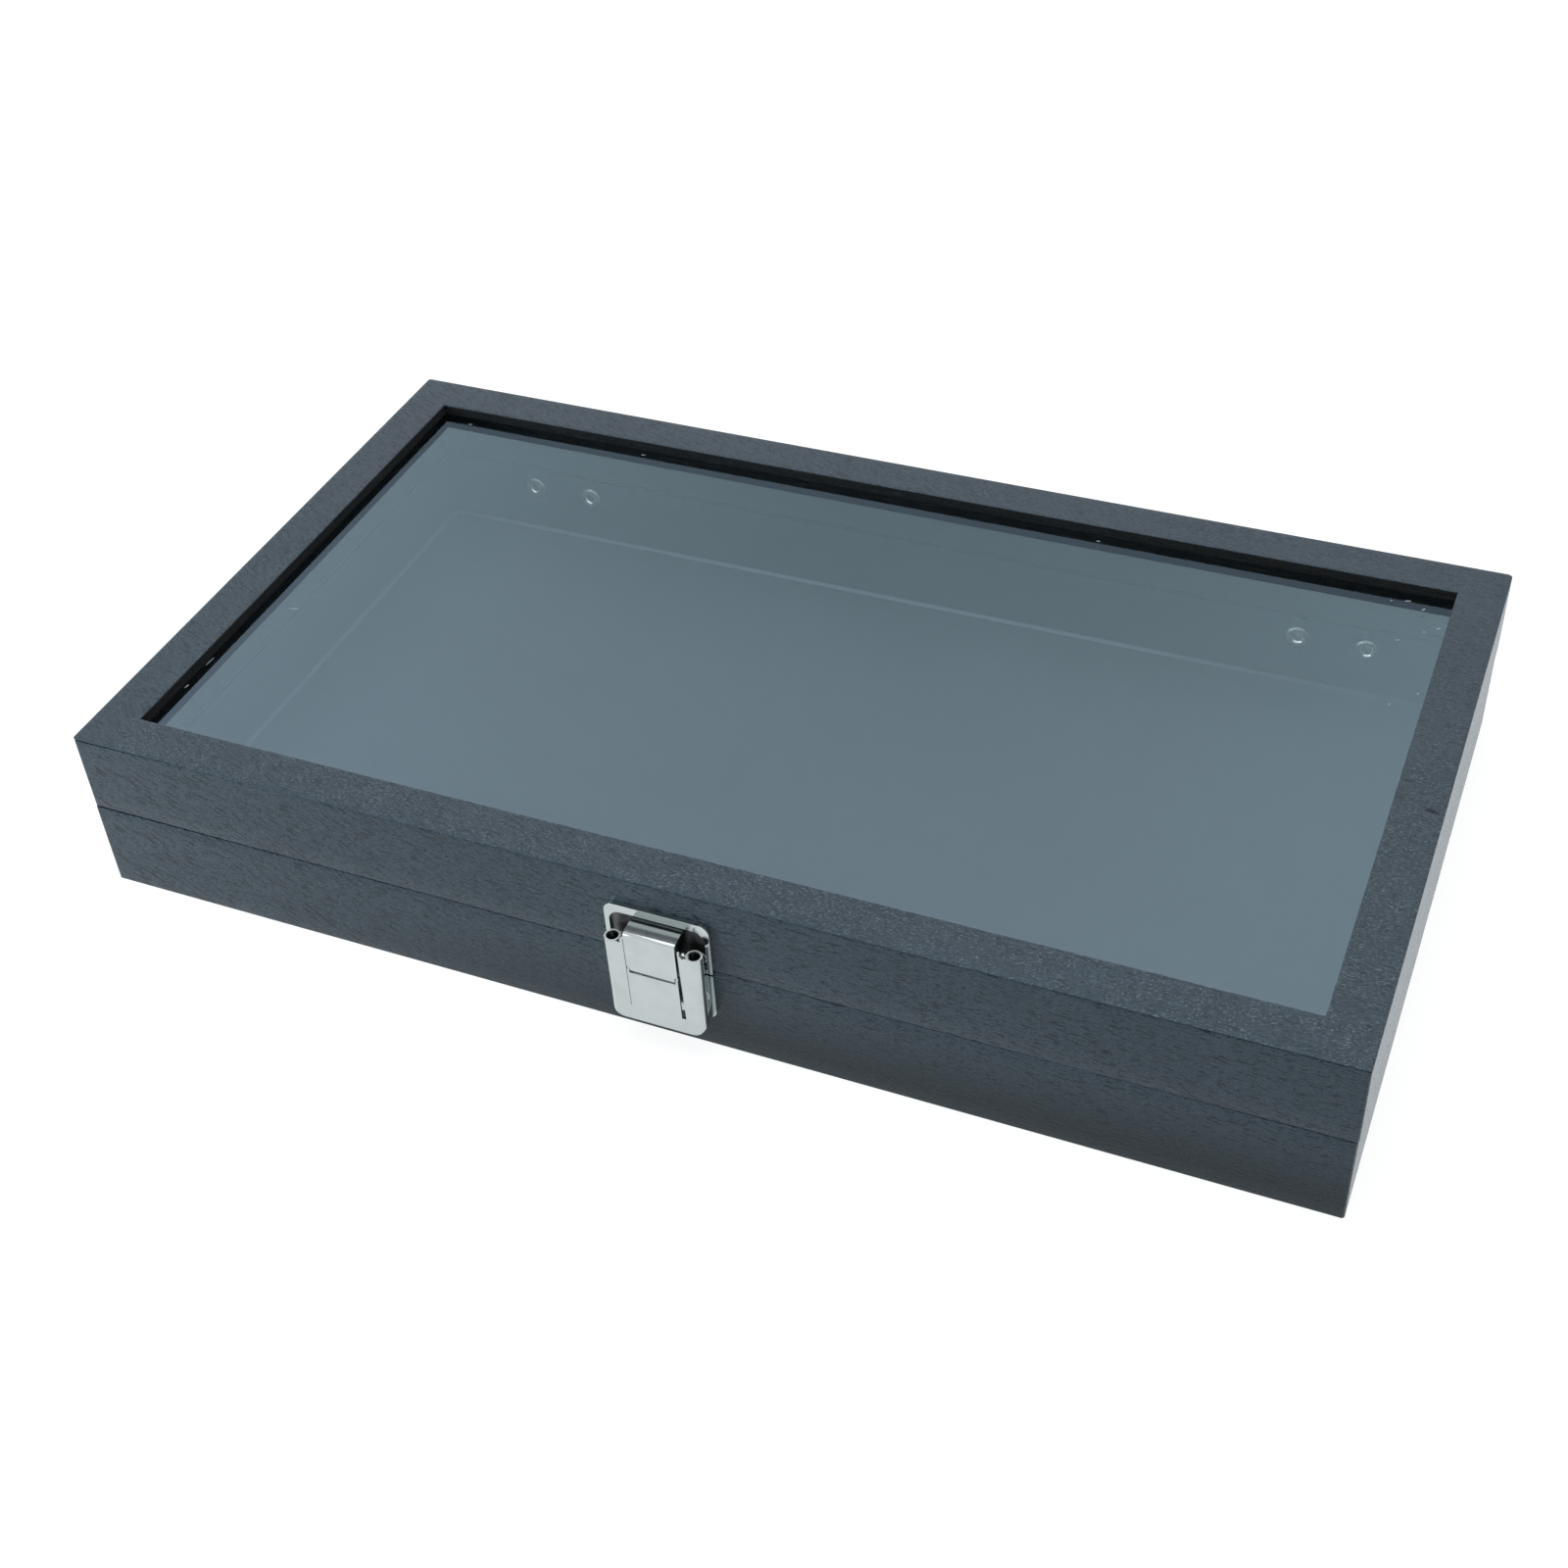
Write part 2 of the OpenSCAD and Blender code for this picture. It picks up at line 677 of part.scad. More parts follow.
// Outline of the claw seen from its side: front, bend and sloping top with its tip
module claw_profile() {
    translate([lever_y, claw_pin_z]) square([claw_t, bend_z - claw_pin_z]);
    translate([bend_y, bend_z]) intersection() {
        difference() {
            circle(r = claw_bend_r);
            circle(r = claw_bend_r - claw_t);
        }
        polygon([
            [0, 0],
            [-claw_bend_r, 0],
            [-claw_bend_r, claw_bend_r],
            [-claw_bend_r * tan(claw_slope), claw_bend_r]
        ]);
    }
    translate([top_y, top_z]) rotate(claw_slope) translate([0, -claw_t]) square([claw_top_len, claw_t]);
}

// Outline of one side wall of the claw, a wedge that closes the claw's box shape
module claw_side_profile() {
    back_y = plate_y - claw_side_gap;
    polygon([
        [lever_y + claw_t / 2, bend_z - claw_side_h],
        [back_y, bend_z - claw_side_h / 2],
        [back_y, claw_height(back_y) - claw_t / 2],
        [top_y, top_z - claw_t / 2],
        [lever_y + claw_t / 2, bend_z]
    ]);
}

// Stands an outline drawn in Y and Z up across X, from x0 to x1
module across(x0, x1) {
    translate([x0, 0, 0]) rotate([90, 0, 90]) linear_extrude(x1 - x0) children();
}

// Claw: hinged on the tongue at its foot, its tip in the keeper's slot
module latch_claw() {
    color(nickel) difference() {
        union() {
            across(-claw_w / 2, claw_w / 2) claw_profile();
            across(-claw_w / 2, claw_t - claw_w / 2) claw_side_profile();
            across(claw_w / 2 - claw_t, claw_w / 2) claw_side_profile();
            bar_x(-claw_knuckle_w / 2, claw_knuckle_w / 2, claw_pin_y, claw_pin_z, claw_knuckle_r);
        }
        for (side = [0, 1]) mirror([side, 0, 0])
            block([claw_knuckle_w / 2, lever_y - cut, claw_pin_z - cut],
                  [claw_w / 2 + cut, claw_pin_y + claw_knuckle_r, claw_pin_z + lug_notch]);
        bar_x(-claw_w, claw_w, claw_pin_y, claw_pin_z, claw_pin_r + hole_play);
    }
}

base_front_rail();
base_rear_rail();
base_side_rail(-1);  // base_left_rail
base_side_rail(1);  // base_right_rail
base_bottom_board();
base_bottom_sheet();
base_wrap();
base_lining();
floor_pad();
lid_front_rail();
lid_rear_rail();
lid_side_rail(-1);  // lid_left_rail
lid_side_rail(1);  // lid_right_rail
top_frame_board(0);  // top_frame_front
top_frame_board(90);  // top_frame_right
top_frame_board(180);  // top_frame_rear
top_frame_board(270);  // top_frame_left
lid_side_wrap();
lid_top_sheet();
lid_lining();
glass_pane();
long_stop(-1);  // glass_stop_front
long_stop(1);  // glass_stop_rear
short_stop(-1);  // glass_stop_left
short_stop(1);  // glass_stop_right
hinge_base_leaf(-1);  // left_hinge_base_leaf
hinge_lid_leaf(-1);  // left_hinge_lid_leaf
hinge_pin(-1);  // left_hinge_pin
hinge_base_leaf(1);  // right_hinge_base_leaf
hinge_lid_leaf(1);  // right_hinge_lid_leaf
hinge_pin(1);  // right_hinge_pin
hinge_rivets(base_hinge_rivet_z, wall_t);  // base_hinge_rivets
hinge_rivets(lid_hinge_rivet_z, rail_in - end_recess);  // lid_hinge_rivets
keeper_plate();
front_rivets(keeper_rivet_z, plate_t);  // keeper_rivets
catch_plate();
front_rivets(catch_rivet_z, plate_proud);  // catch_rivets
lever_pins();
latch_lever();
claw_pin();
latch_claw();
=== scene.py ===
"""Looks of a glass-top jewelry display case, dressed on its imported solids.

Lengths are in metres unless a name ends in _mm. +X is right, +Y is the rear, +Z is up.
"""

import math

import bmesh
import bpy
from mathutils import Matrix, Vector, noise


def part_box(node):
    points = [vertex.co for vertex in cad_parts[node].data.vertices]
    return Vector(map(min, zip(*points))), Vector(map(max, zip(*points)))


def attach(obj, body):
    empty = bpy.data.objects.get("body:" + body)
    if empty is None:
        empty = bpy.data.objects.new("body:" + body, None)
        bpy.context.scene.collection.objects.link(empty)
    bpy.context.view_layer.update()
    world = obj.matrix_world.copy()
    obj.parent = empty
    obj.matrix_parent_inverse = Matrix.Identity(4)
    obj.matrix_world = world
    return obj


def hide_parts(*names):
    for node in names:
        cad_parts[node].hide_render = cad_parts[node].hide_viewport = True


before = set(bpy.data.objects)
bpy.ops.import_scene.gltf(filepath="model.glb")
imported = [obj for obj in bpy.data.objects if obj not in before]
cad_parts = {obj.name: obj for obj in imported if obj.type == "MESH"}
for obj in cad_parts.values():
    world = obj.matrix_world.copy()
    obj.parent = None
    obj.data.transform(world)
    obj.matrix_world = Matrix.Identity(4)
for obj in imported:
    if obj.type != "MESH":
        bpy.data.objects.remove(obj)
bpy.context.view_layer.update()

MM = 0.001

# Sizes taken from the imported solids
base_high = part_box("base_wrap")[1]
lid_low, lid_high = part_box("lid_side_wrap")
sheet_low, sheet_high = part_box("lid_top_sheet")
glass_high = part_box("glass_pane")[1]
pad_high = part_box("floor_pad")[1]
bottom_low, bottom_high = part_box("base_bottom_sheet")
half_x = base_high.x
half_y = base_high.y
sheet_thickness = sheet_high.z - lid_high.z

# Sizes of the covering that the solids do not show as such
corner_radius = 0.9 * MM
rear_right_radius = 1.5 * MM
corner_radii = (corner_radius, rear_right_radius, corner_radius, corner_radius)
wrap_thickness = 0.5 * MM
wall_thickness = 7.0 * MM
rim_width = 14.0 * MM
edge_radius = 0.25 * MM
foot_clearance = 0.02 * MM
lid_sideways = 0.12 * MM
groove_depth = 0.35 * MM
groove_height = 0.06 * MM

# Sizes of the metal parts' finish
hinge_rivet_pitch = 21.8 * MM
rivet_ring_radius = 2.6 * MM
sheared_reach = 2.4 * MM
sunk_depth = 0.3 * MM
sheet_edge = 0.12 * MM
plate_edge = 0.4 * MM
rivet_edge = 0.05 * MM
wire_edge = 0.08 * MM

# How finely a covering is divided along the sides and round a corner
side_step = 0.9 * MM
corner_steps = 6
smallest_radius = 0.02 * MM

# How squarely a face looks along an axis to count as facing that way
squarely = 0.9

# Rays that show the surround: straight, mirrored or through the glass
SEEN_RAYS = ("Is Camera Ray", "Is Glossy Ray", "Is Transmission Ray")


class Shader:
    """The node tree of a material or a world, with short calls that add nodes and join them."""

    def __init__(self, name, kind="materials"):
        self.owner = getattr(bpy.data, kind).new(name)
        self.owner.use_nodes = True
        self.tree = self.owner.node_tree
        self.output = self.tree.get_output_node("ALL")
        self.surface = self.output.inputs["Surface"].links[0].from_node

    def put(self, socket, value):
        """Sets an input socket to a constant, or joins it to an output socket."""
        if isinstance(value, bpy.types.NodeSocket):
            self.tree.links.new(value, socket)
        else:
            socket.default_value = value

    def node(self, kind, sockets=(), **settings):
        """Adds a node; sockets pairs an input's name or number with its value."""
        node = self.tree.nodes.new("ShaderNode" + kind)
        for key, value in settings.items():
            setattr(node, key, value)
        for key, value in dict(sockets).items():
            self.put(node.inputs[key], value)
        return node

    def finish(self, sockets):
        """Fills in the main shader's sockets and returns the owner."""
        for key, value in sockets.items():
            self.put(self.surface.inputs[key], value)
        return self.owner

    def show(self, shader_node):
        """Shows a shader node's result in place of the main shader, and returns the owner."""
        self.tree.links.new(shader_node.outputs[0], self.output.inputs["Surface"])
        return self.owner

    def math(self, operation, first, second=0.0):
        """The result of one operation on one or two values."""
        return self.node("Math", {0: first, 1: second}, operation=operation).outputs[0]

    def times(self, product, *factors):
        """The product of several values."""
        for factor in factors:
            product = self.math("MULTIPLY", product, factor)
        return product

    def ramp(self, value, low, high):
        """A value mapped so that low gives 0 and high gives 1, smoothly."""
        sockets = {"Value": value, "From Min": low, "From Max": high}
        node = self.node("MapRange", sockets, interpolation_type="SMOOTHSTEP")
        return node.outputs["Result"]

    def fade(self, value, low, high):
        """A value mapped so that low gives 1 and high gives 0, smoothly."""
        return self.math("SUBTRACT", 1.0, self.ramp(value, low, high))

    def span(self, value, first, second):
        """A value from 0 to 1 mapped onto the span from first to second."""
        sockets = {"Value": value, "To Min": first, "To Max": second}
        return self.node("MapRange", sockets).outputs["Result"]

    def mix(self, share, first, second):
        """Two numbers mixed by a share from 0 to 1."""
        return self.node("Mix", {0: share, 2: first, 3: second}).outputs[0]

    def blend(self, share, first, second):
        """Two colours mixed by a share from 0 to 1."""
        node = self.node("Mix", {0: share, 6: first, 7: second}, data_type="RGBA")
        return node.outputs[2]

    def mix_shaders(self, share, first, second):
        """Two shader nodes mixed by a share from 0 to 1."""
        return self.node("MixShader", {0: share, 1: first.outputs[0], 2: second.outputs[0]})

    def scaled(self, vector, factor):
        """A vector times a number."""
        return self.node("VectorMath", {0: vector, "Scale": factor}, operation="SCALE").outputs["Vector"]

    def place(self):
        """Coordinates in millimetres, from the object's own space."""
        return self.scaled(self.node("TexCoord").outputs["Object"], 1 / MM)

    def grain(self):
        """Coordinates in millimetres, from the object's grain map."""
        return self.scaled(self.node("UVMap", uv_map="grain").outputs["UV"], 1 / MM)

    def split(self, vector):
        """The X, Y and Z of a vector, by name."""
        return self.node("SeparateXYZ", {0: vector}).outputs

    def stretch(self, vector, factors, turn=0.0):
        """Coordinates turned about Z and then multiplied along each axis."""
        turned = self.node("Mapping", {"Vector": vector, "Rotation": (0, 0, turn)})
        sockets = {0: turned.outputs["Vector"], 1: factors}
        return self.node("VectorMath", sockets, operation="MULTIPLY").outputs["Vector"]

    def noise(self, vector, scale=1.0, detail=2.0, roughness=0.5):
        """Smooth noise from 0 to 1."""
        sockets = {"Vector": vector, "Scale": scale, "Detail": detail, "Roughness": roughness}
        return self.node("TexNoise", sockets).outputs["Fac"]

    def bump(self, height, depth, strength):
        """A surface normal raised by a height from 0 to 1, with its full depth in metres."""
        sockets = {"Height": height, "Distance": depth, "Strength": strength}
        return self.node("Bump", sockets).outputs["Normal"]

    def rays(self, *names):
        """1 for rays of any of the named kinds, and 0 for others."""
        kinds = self.node("LightPath").outputs
        found = kinds[names[0]]
        for name in names[1:]:
            found = self.math("MAXIMUM", found, kinds[name])
        return found


def rgb(red, green, blue):
    """A colour with full alpha, from linear values."""
    return (red, green, blue, 1.0)


# Colours of the covering paper in the hollows and on the heights of its grain
grain_low = rgb(0.042, 0.057, 0.075)
grain_high = rgb(0.078, 0.101, 0.126)


def strokes(shader, vector, length, width, turn, edge):
    """Broken strokes along the grain, in millimetres: 1 on a stroke and 0 beside it."""
    drawn = shader.stretch(vector, (1 / length, 1 / width, 1.0), turn)
    return shader.ramp(shader.noise(drawn, detail=1.5), *edge)


def bent_grain(shader):
    """Grain coordinates whose direction wanders slowly over the sheet."""
    wander_mm = 9.0
    place = shader.grain()
    slow = shader.node("TexNoise", {"Vector": place, "Scale": 0.03, "Detail": 1.0})
    shift = shader.scaled(slow.outputs["Color"], wander_mm)
    return shader.node("VectorMath", {0: place, 1: shift}, operation="ADD").outputs["Vector"]


def fine_grain(shader, place):
    """The fine embossed grain of the covering paper, from 0 to 1."""
    return shader.noise(shader.stretch(place, (0.9, 1.5, 1.0)), detail=3.0, roughness=0.6)


def dark_creases(shader, place, lean):
    """Creases and ticks that lean over at the start of a sheet and lie level further along it."""
    lean_end_mm = 50.0
    level_start_mm = 190.0
    leaning = strokes(shader, place, length=4.4, width=0.7, turn=lean, edge=(0.54, 0.61))
    level = strokes(shader, place, length=4.0, width=0.62, turn=0.1, edge=(0.56, 0.63))
    along = shader.ramp(shader.split(place)["X"], lean_end_mm, level_start_mm)
    ticks = strokes(shader, place, length=1.5, width=0.5, turn=-0.5 * lean, edge=(0.58, 0.66))
    return shader.math("MAXIMUM", shader.mix(along, leaning, level), ticks)


def highlight_dashes(shader, place, turn):
    """Pale dashes of painted highlight on the grain's edges, in patches, fewer of them towards the rear
    and at the left end.
    """
    rear_mm = (20.0, 150.0)
    left_mm = (-122.0, -105.0)
    spot = shader.split(place)
    rearwards = shader.span(shader.ramp(spot["Y"], *rear_mm), 1.0, 0.3)
    from_left = shader.span(shader.ramp(spot["X"], *left_mm), 0.2, 1.0)
    highlight_spread = shader.times(rearwards, from_left)
    patches = shader.times(shader.ramp(shader.noise(place, scale=0.12), 0.2, 0.55), highlight_spread)
    dashes = strokes(shader, place, length=0.85, width=0.34, turn=turn, edge=(0.57, 0.68))
    return shader.times(dashes, patches)


def scuff_mark(shader, spot_mm):
    """1 inside a small ragged scuff and 0 outside it."""
    place = shader.place()
    apart = shader.node("VectorMath", {0: place, 1: spot_mm}, operation="SUBTRACT").outputs["Vector"]
    flat = shader.stretch(apart, (0.5, 1.1, 1.1), turn=0.2)
    reach = shader.node("VectorMath", {0: flat}, operation="LENGTH").outputs["Value"]
    ragged = shader.math("ADD", reach, shader.noise(place, scale=1.3))
    return shader.fade(ragged, 1.2, 1.7)


def painted_foot_shade(shader):
    """Painted shade at the front foot of the tray, strongest towards the right."""
    front_mm = -half_y / MM
    height_mm = 30.0
    right_mm = (-150.0, 60.0)
    spot = shader.split(shader.place())
    near_foot = shader.fade(spot["Z"], 0.0, height_mm)
    near_front = shader.fade(spot["Y"], front_mm + 1.0, front_mm + 5.0)
    return shader.times(near_foot, near_front, shader.ramp(spot["X"], *right_mm))


def grained_finish(shader, color, roughness, height):
    """The low sheen of embossed covering paper."""
    return shader.finish({
        "Base Color": color,
        "Roughness": roughness,
        "Specular IOR Level": 0.335,
        "Specular Tint": rgb(0.59, 0.85, 1.0),
        "Sheen Weight": 0.5,
        "Sheen Roughness": 0.25,
        "Sheen Tint": rgb(0.7, 0.88, 1.0),
        "Normal": shader.bump(height, depth=0.07 * MM, strength=0.4),
    })


def leatherette(name, dark_share, highlight_share, lean, dash_turn, roughness, scuff_mm):
    """Embossed blue-black covering paper: fine grain, dark creases along it and pale dashes of painted
    highlight.
    """
    shader = Shader(name)
    place = bent_grain(shader)
    fine = fine_grain(shader, place)
    creases = dark_creases(shader, place, lean)
    pale = shader.times(highlight_dashes(shader, place, dash_turn), highlight_share)
    cloud = shader.noise(place, scale=0.03, detail=3.0)
    low = shader.blend(shader.ramp(cloud, 0.3, 0.7), grain_low, rgb(0.052, 0.070, 0.090))
    grained = shader.blend(shader.ramp(fine, 0.36, 0.66), low, grain_high)
    # The creases are sunk by the bump and also darkened in colour: partly their own darker tone, partly
    # painted shade in them.
    creased = shader.blend(shader.times(creases, dark_share), grained, rgb(0.006, 0.009, 0.013))
    # The pale dashes lighten the colour towards pale grey: painted highlight.
    speckled = shader.blend(pale, creased, rgb(0.21, 0.24, 0.27))
    # A real scuff together with painted shade at the front foot; both darken the colour to near black.
    scuff_and_foot_shade = shader.math("MAXIMUM", scuff_mark(shader, scuff_mm), painted_foot_shade(shader))
    color = shader.blend(scuff_and_foot_shade, speckled, rgb(0.006, 0.009, 0.012))
    lowered = shader.math("SUBTRACT", 1.0, creases)
    height = shader.math("ADD", lowered, shader.times(fine, 0.8))
    return grained_finish(shader, color, shader.span(fine, *roughness), height)


def bottom_paper():
    """The same covering paper, plainer, under the tray."""
    shader = Shader("bottom_paper")
    place = shader.place()
    fine = fine_grain(shader, place)
    creases = strokes(shader, place, length=3.2, width=0.62, turn=0.3, edge=(0.56, 0.63))
    grained = shader.blend(shader.ramp(fine, 0.36, 0.66), grain_low, grain_high)
    color = shader.blend(creases, grained, rgb(0.012, 0.017, 0.023))
    height = shader.math("SUBTRACT", fine, creases)
    return grained_finish(shader, color, shader.span(fine, 0.2, 0.3), height)


def groove_shade_paper():
    """The dark, fuzzy cut edge of the covering paper, darkened further as painted shade in the groove and
    the seam.
    """
    shader = Shader("groove_shade_paper")
    fuzz = shader.noise(shader.place(), scale=1.5, detail=3.0)
    color = shader.blend(shader.ramp(fuzz, 0.4, 0.7), rgb(0.006, 0.008, 0.010), rgb(0.018, 0.021, 0.025))
    return shader.finish({
        "Base Color": color,
        "Roughness": 0.9,
        "Specular IOR Level": 0.2,
        "Normal": shader.bump(fuzz, depth=0.08 * MM, strength=0.7),
    })


def torn_paper():
    """The pale core of the covering paper where a corner is rubbed through."""
    shader = Shader("torn_paper")
    fibres = shader.noise(shader.stretch(shader.place(), (2.0, 2.0, 0.8)), scale=1.5, detail=3.0)
    return shader.finish({
        "Base Color": shader.blend(fibres, rgb(0.12, 0.14, 0.16), rgb(0.55, 0.58, 0.60)),
        "Roughness": 0.9,
        "Normal": shader.bump(fibres, depth=0.05 * MM, strength=0.6),
    })


def lining_paper():
    """Matte black paper on the inside walls, with a faint fibre grain."""
    shader = Shader("lining_paper")
    place = shader.place()
    fibres = shader.noise(shader.stretch(place, (0.5, 0.5, 2.4)), detail=3.0)
    cloud = shader.noise(place, scale=0.05)
    uneven = shader.math("ADD", shader.times(fibres, 0.6), shader.times(cloud, 0.4))
    color = shader.blend(shader.ramp(uneven, 0.3, 0.7), rgb(0.014, 0.017, 0.021), rgb(0.020, 0.024, 0.029))
    return shader.finish({
        "Base Color": color,
        "Roughness": 0.62,
        "Specular IOR Level": 0.3,
        "Normal": shader.bump(fibres, depth=0.05 * MM, strength=0.04),
    })


def fold_highlight():
    """The hollow fold at the foot of the wall lining, lightened as a painted highlight, palest along the
    left and middle of the rear.
    """
    left_mm = (-179.0, -150.0)
    right_mm = (40.0, 170.0)
    shader = Shader("fold_highlight")
    place = shader.place()
    across = shader.split(place)["X"]
    from_left = shader.span(shader.ramp(across, *left_mm), 0.3, 1.0)
    to_right = shader.fade(across, *right_mm)
    fibres = shader.noise(shader.stretch(place, (0.3, 0.3, 2.4)), detail=3.0)
    # rubbed holds the share of painted highlight along the fold.
    rubbed = shader.times(from_left, to_right, shader.span(fibres, 0.6, 1.2))
    return shader.finish({
        "Base Color": shader.blend(rubbed, rgb(0.045, 0.053, 0.062), rgb(0.16, 0.18, 0.20)),
        "Roughness": 0.6,
        "Specular IOR Level": 0.3,
    })


def woven_threads(shader, place):
    """The threads of a fine cloth woven on the bias, from 0 to 1."""
    turn = math.radians(38)
    pitch_mm = 0.62
    slack = 0.12
    bands = {"Scale": 0.5, "Distortion": 0.6, "Detail": 1.0}
    along = shader.stretch(place, (1 / pitch_mm, slack, 0.0), turn)
    across = shader.stretch(place, (slack, 1 / pitch_mm, 0.0), turn)
    warp = shader.node("TexWave", {"Vector": along, **bands}).outputs["Fac"]
    weft = shader.node("TexWave", {"Vector": across, **bands}, bands_direction="Y").outputs["Fac"]
    return shader.math("ADD", shader.times(warp, 0.7), shader.times(weft, 0.3))


def floor_cloth():
    """Fine black cloth on the floor pad, with painted shade beside the left wall and a little lint on it.
    """
    left_mm = (-181.0, -145.0)
    shader = Shader("floor_cloth")
    place = shader.place()
    threads = woven_threads(shader, place)
    cloud = shader.noise(place, scale=0.03, detail=3.0)
    lint = shader.ramp(shader.noise(place, scale=1.1), 0.72, 0.78)
    base = shader.blend(shader.ramp(cloud, 0.3, 0.7), rgb(0.012, 0.016, 0.020), rgb(0.018, 0.022, 0.027))
    woven = shader.blend(threads, base, rgb(0.036, 0.044, 0.053))
    # Painted shade from the left wall, darkening the cloth to near black beside it.
    from_left = shader.ramp(shader.split(place)["X"], *left_mm)
    shaded = shader.blend(from_left, rgb(0.006, 0.008, 0.010), woven)
    return shader.finish({
        "Base Color": shader.blend(shader.times(lint, 0.3), shaded, rgb(0.10, 0.11, 0.12)),
        "Roughness": 0.75,
        "Specular IOR Level": 0.3,
        "Sheen Weight": 0.1,
        "Sheen Roughness": 0.5,
        "Normal": shader.bump(threads, depth=0.06 * MM, strength=0.2),
    })


def fibreboard():
    """Bare brown board, pressed from fine fibres."""
    shader = Shader("fibreboard")
    place = shader.place()
    fibres = shader.noise(shader.stretch(place, (0.35, 0.6, 1.4)), detail=4.0)
    specks = shader.ramp(shader.noise(place, scale=1.6), 0.6, 0.75)
    base = shader.blend(fibres, rgb(0.33, 0.22, 0.12), rgb(0.47, 0.33, 0.2))
    return shader.finish({
        "Base Color": shader.blend(shader.times(specks, 0.5), base, rgb(0.2, 0.13, 0.075)),
        "Roughness": 0.85,
        "Normal": shader.bump(fibres, depth=0.1 * MM, strength=0.5),
    })


def black_edge(name, cut_z=None):
    """Matte black paper with a rough nap; brown board shows just below its cut edge, where it has one."""
    shader = Shader(name)
    place = shader.place()
    nap = shader.noise(place, scale=1.4, detail=4.0, roughness=0.65)
    streak = shader.noise(shader.stretch(place, (0.12, 0.12, 1.5)))
    soft = shader.blend(shader.ramp(nap, 0.35, 0.7), rgb(0.008, 0.009, 0.010), rgb(0.019, 0.021, 0.023))
    color = shader.blend(shader.ramp(streak, 0.5, 0.7), soft, rgb(0.026, 0.027, 0.028))
    if cut_z is not None:
        cut_mm = cut_z / MM
        near_cut = shader.ramp(shader.split(place)["Z"], cut_mm - 0.5, cut_mm - 0.1)
        torn = shader.times(near_cut, shader.ramp(nap, 0.42, 0.6))
        color = shader.blend(torn, color, rgb(0.075, 0.055, 0.042))
    return shader.finish({
        "Base Color": color,
        "Roughness": 0.85,
        "Specular IOR Level": 0.25,
        "Normal": shader.bump(nap, depth=0.15 * MM, strength=0.8),
    })


def mirrored_share(shader, outside):
    """How much of the surround a face of the glass mirrors; outside is 1 on its outer side.

    The outer side mirrors less towards the rear and the inner side more at the ends: painted light that
    darkens the glass towards the rear and brightens it at the ends.
    """
    rear_loss = 0.037
    right_loss = 0.001
    end_brightening = 0.084
    rear_end_brightening = 0.026
    place = shader.place()
    spot = shader.split(place)
    sideways = shader.math("DIVIDE", spot["X"], glass_high.x / MM)
    rearwards = shader.math("DIVIDE", spot["Y"], glass_high.y / MM)
    # Painted brightening of the glass at its ends.
    end_gain = shader.math("ADD", shader.times(rearwards, rear_end_brightening), end_brightening)
    inner = shader.times(sideways, sideways, end_gain)
    loss = shader.math("ADD", shader.times(sideways, right_loss), shader.times(rearwards, rear_loss))
    outer = shader.math("SUBTRACT", 0.0, loss)
    smear = shader.noise(shader.stretch(place, (0.02, 0.035, 1.0), turn=0.4), detail=3.0)
    wiped = shader.times(shader.span(outside, 0.115, 0.099), shader.span(smear, 0.95, 1.05))
    level = shader.math("ADD", wiped, shader.mix(outside, inner, outer))
    slant = shader.node("LayerWeight", {"Blend": 0.5}).outputs["Facing"]
    steepened = shader.math("MINIMUM", shader.span(slant, 0.6, 1.78), 1.25)
    grazing = shader.times(shader.math("POWER", slant, 5.0), 0.4)
    return shader.math("ADD", shader.times(level, steepened), grazing)


def clear_glass():
    """Clear float glass: it bends what lies below and lays the sky's reflection over it.

    Lamps and scattered light pass straight through.
    """
    shader = Shader("clear_glass")
    outside = shader.math("SUBTRACT", 1.0, shader.node("NewGeometry").outputs["Backfacing"])
    tint = shader.blend(outside, rgb(0.66, 0.915, 1.0), rgb(0.56, 0.785, 1.0))
    mirror = shader.node("BsdfGlossy", {"Color": tint, "Roughness": 0.0})
    bending = {"Color": rgb(0.97, 0.985, 0.985), "IOR": 1.52, "Roughness": 0.0}
    through = shader.node("BsdfRefraction", bending)
    seen = shader.mix_shaders(mirrored_share(shader, outside), through, mirror)
    passed = shader.node("BsdfTransparent", {"Color": rgb(0.96, 0.98, 0.985)})
    light = shader.rays("Is Shadow Ray", "Is Diffuse Ray")
    return shader.show(shader.mix_shaders(light, seen, passed))


def plated_metal(name, color, roughness):
    """Plated sheet metal with faint polishing marks and a slight cloud."""
    shader = Shader(name)
    place = shader.place()
    marks = shader.noise(shader.stretch(place, (0.4, 0.4, 6.0), turn=0.2), detail=3.0)
    cloud = shader.noise(place, scale=0.16, detail=3.0)
    dull = tuple(0.93 * channel for channel in color)
    return shader.finish({
        "Base Color": shader.blend(shader.ramp(cloud, 0.35, 0.75), rgb(*color), rgb(*dull)),
        "Metallic": 1.0,
        "Roughness": shader.math("ADD", shader.times(marks, 0.06), roughness),
        "Normal": shader.bump(marks, depth=0.004 * MM, strength=0.3),
    })


def dried_glue():
    """Pale glue and lint left at the glass."""
    shader = Shader("dried_glue")
    cloud = shader.noise(shader.place(), scale=2.2, detail=3.0)
    return shader.finish({
        "Base Color": shader.blend(cloud, rgb(0.25, 0.29, 0.32), rgb(0.6, 0.66, 0.7)),
        "Roughness": 0.4,
        "Normal": shader.bump(cloud, depth=0.05 * MM, strength=0.5),
    })


def add_object(name, data):
    """Puts a new object with the given data into the scene."""
    item = bpy.data.objects.new(name, data)
    bpy.context.scene.collection.objects.link(item)
    return item


def add_mesh(name, vertices, faces):
    """Puts a new mesh into the scene."""
    mesh = bpy.data.meshes.new(name)
    mesh.from_pydata(vertices, [], faces)
    return add_object(name, mesh)


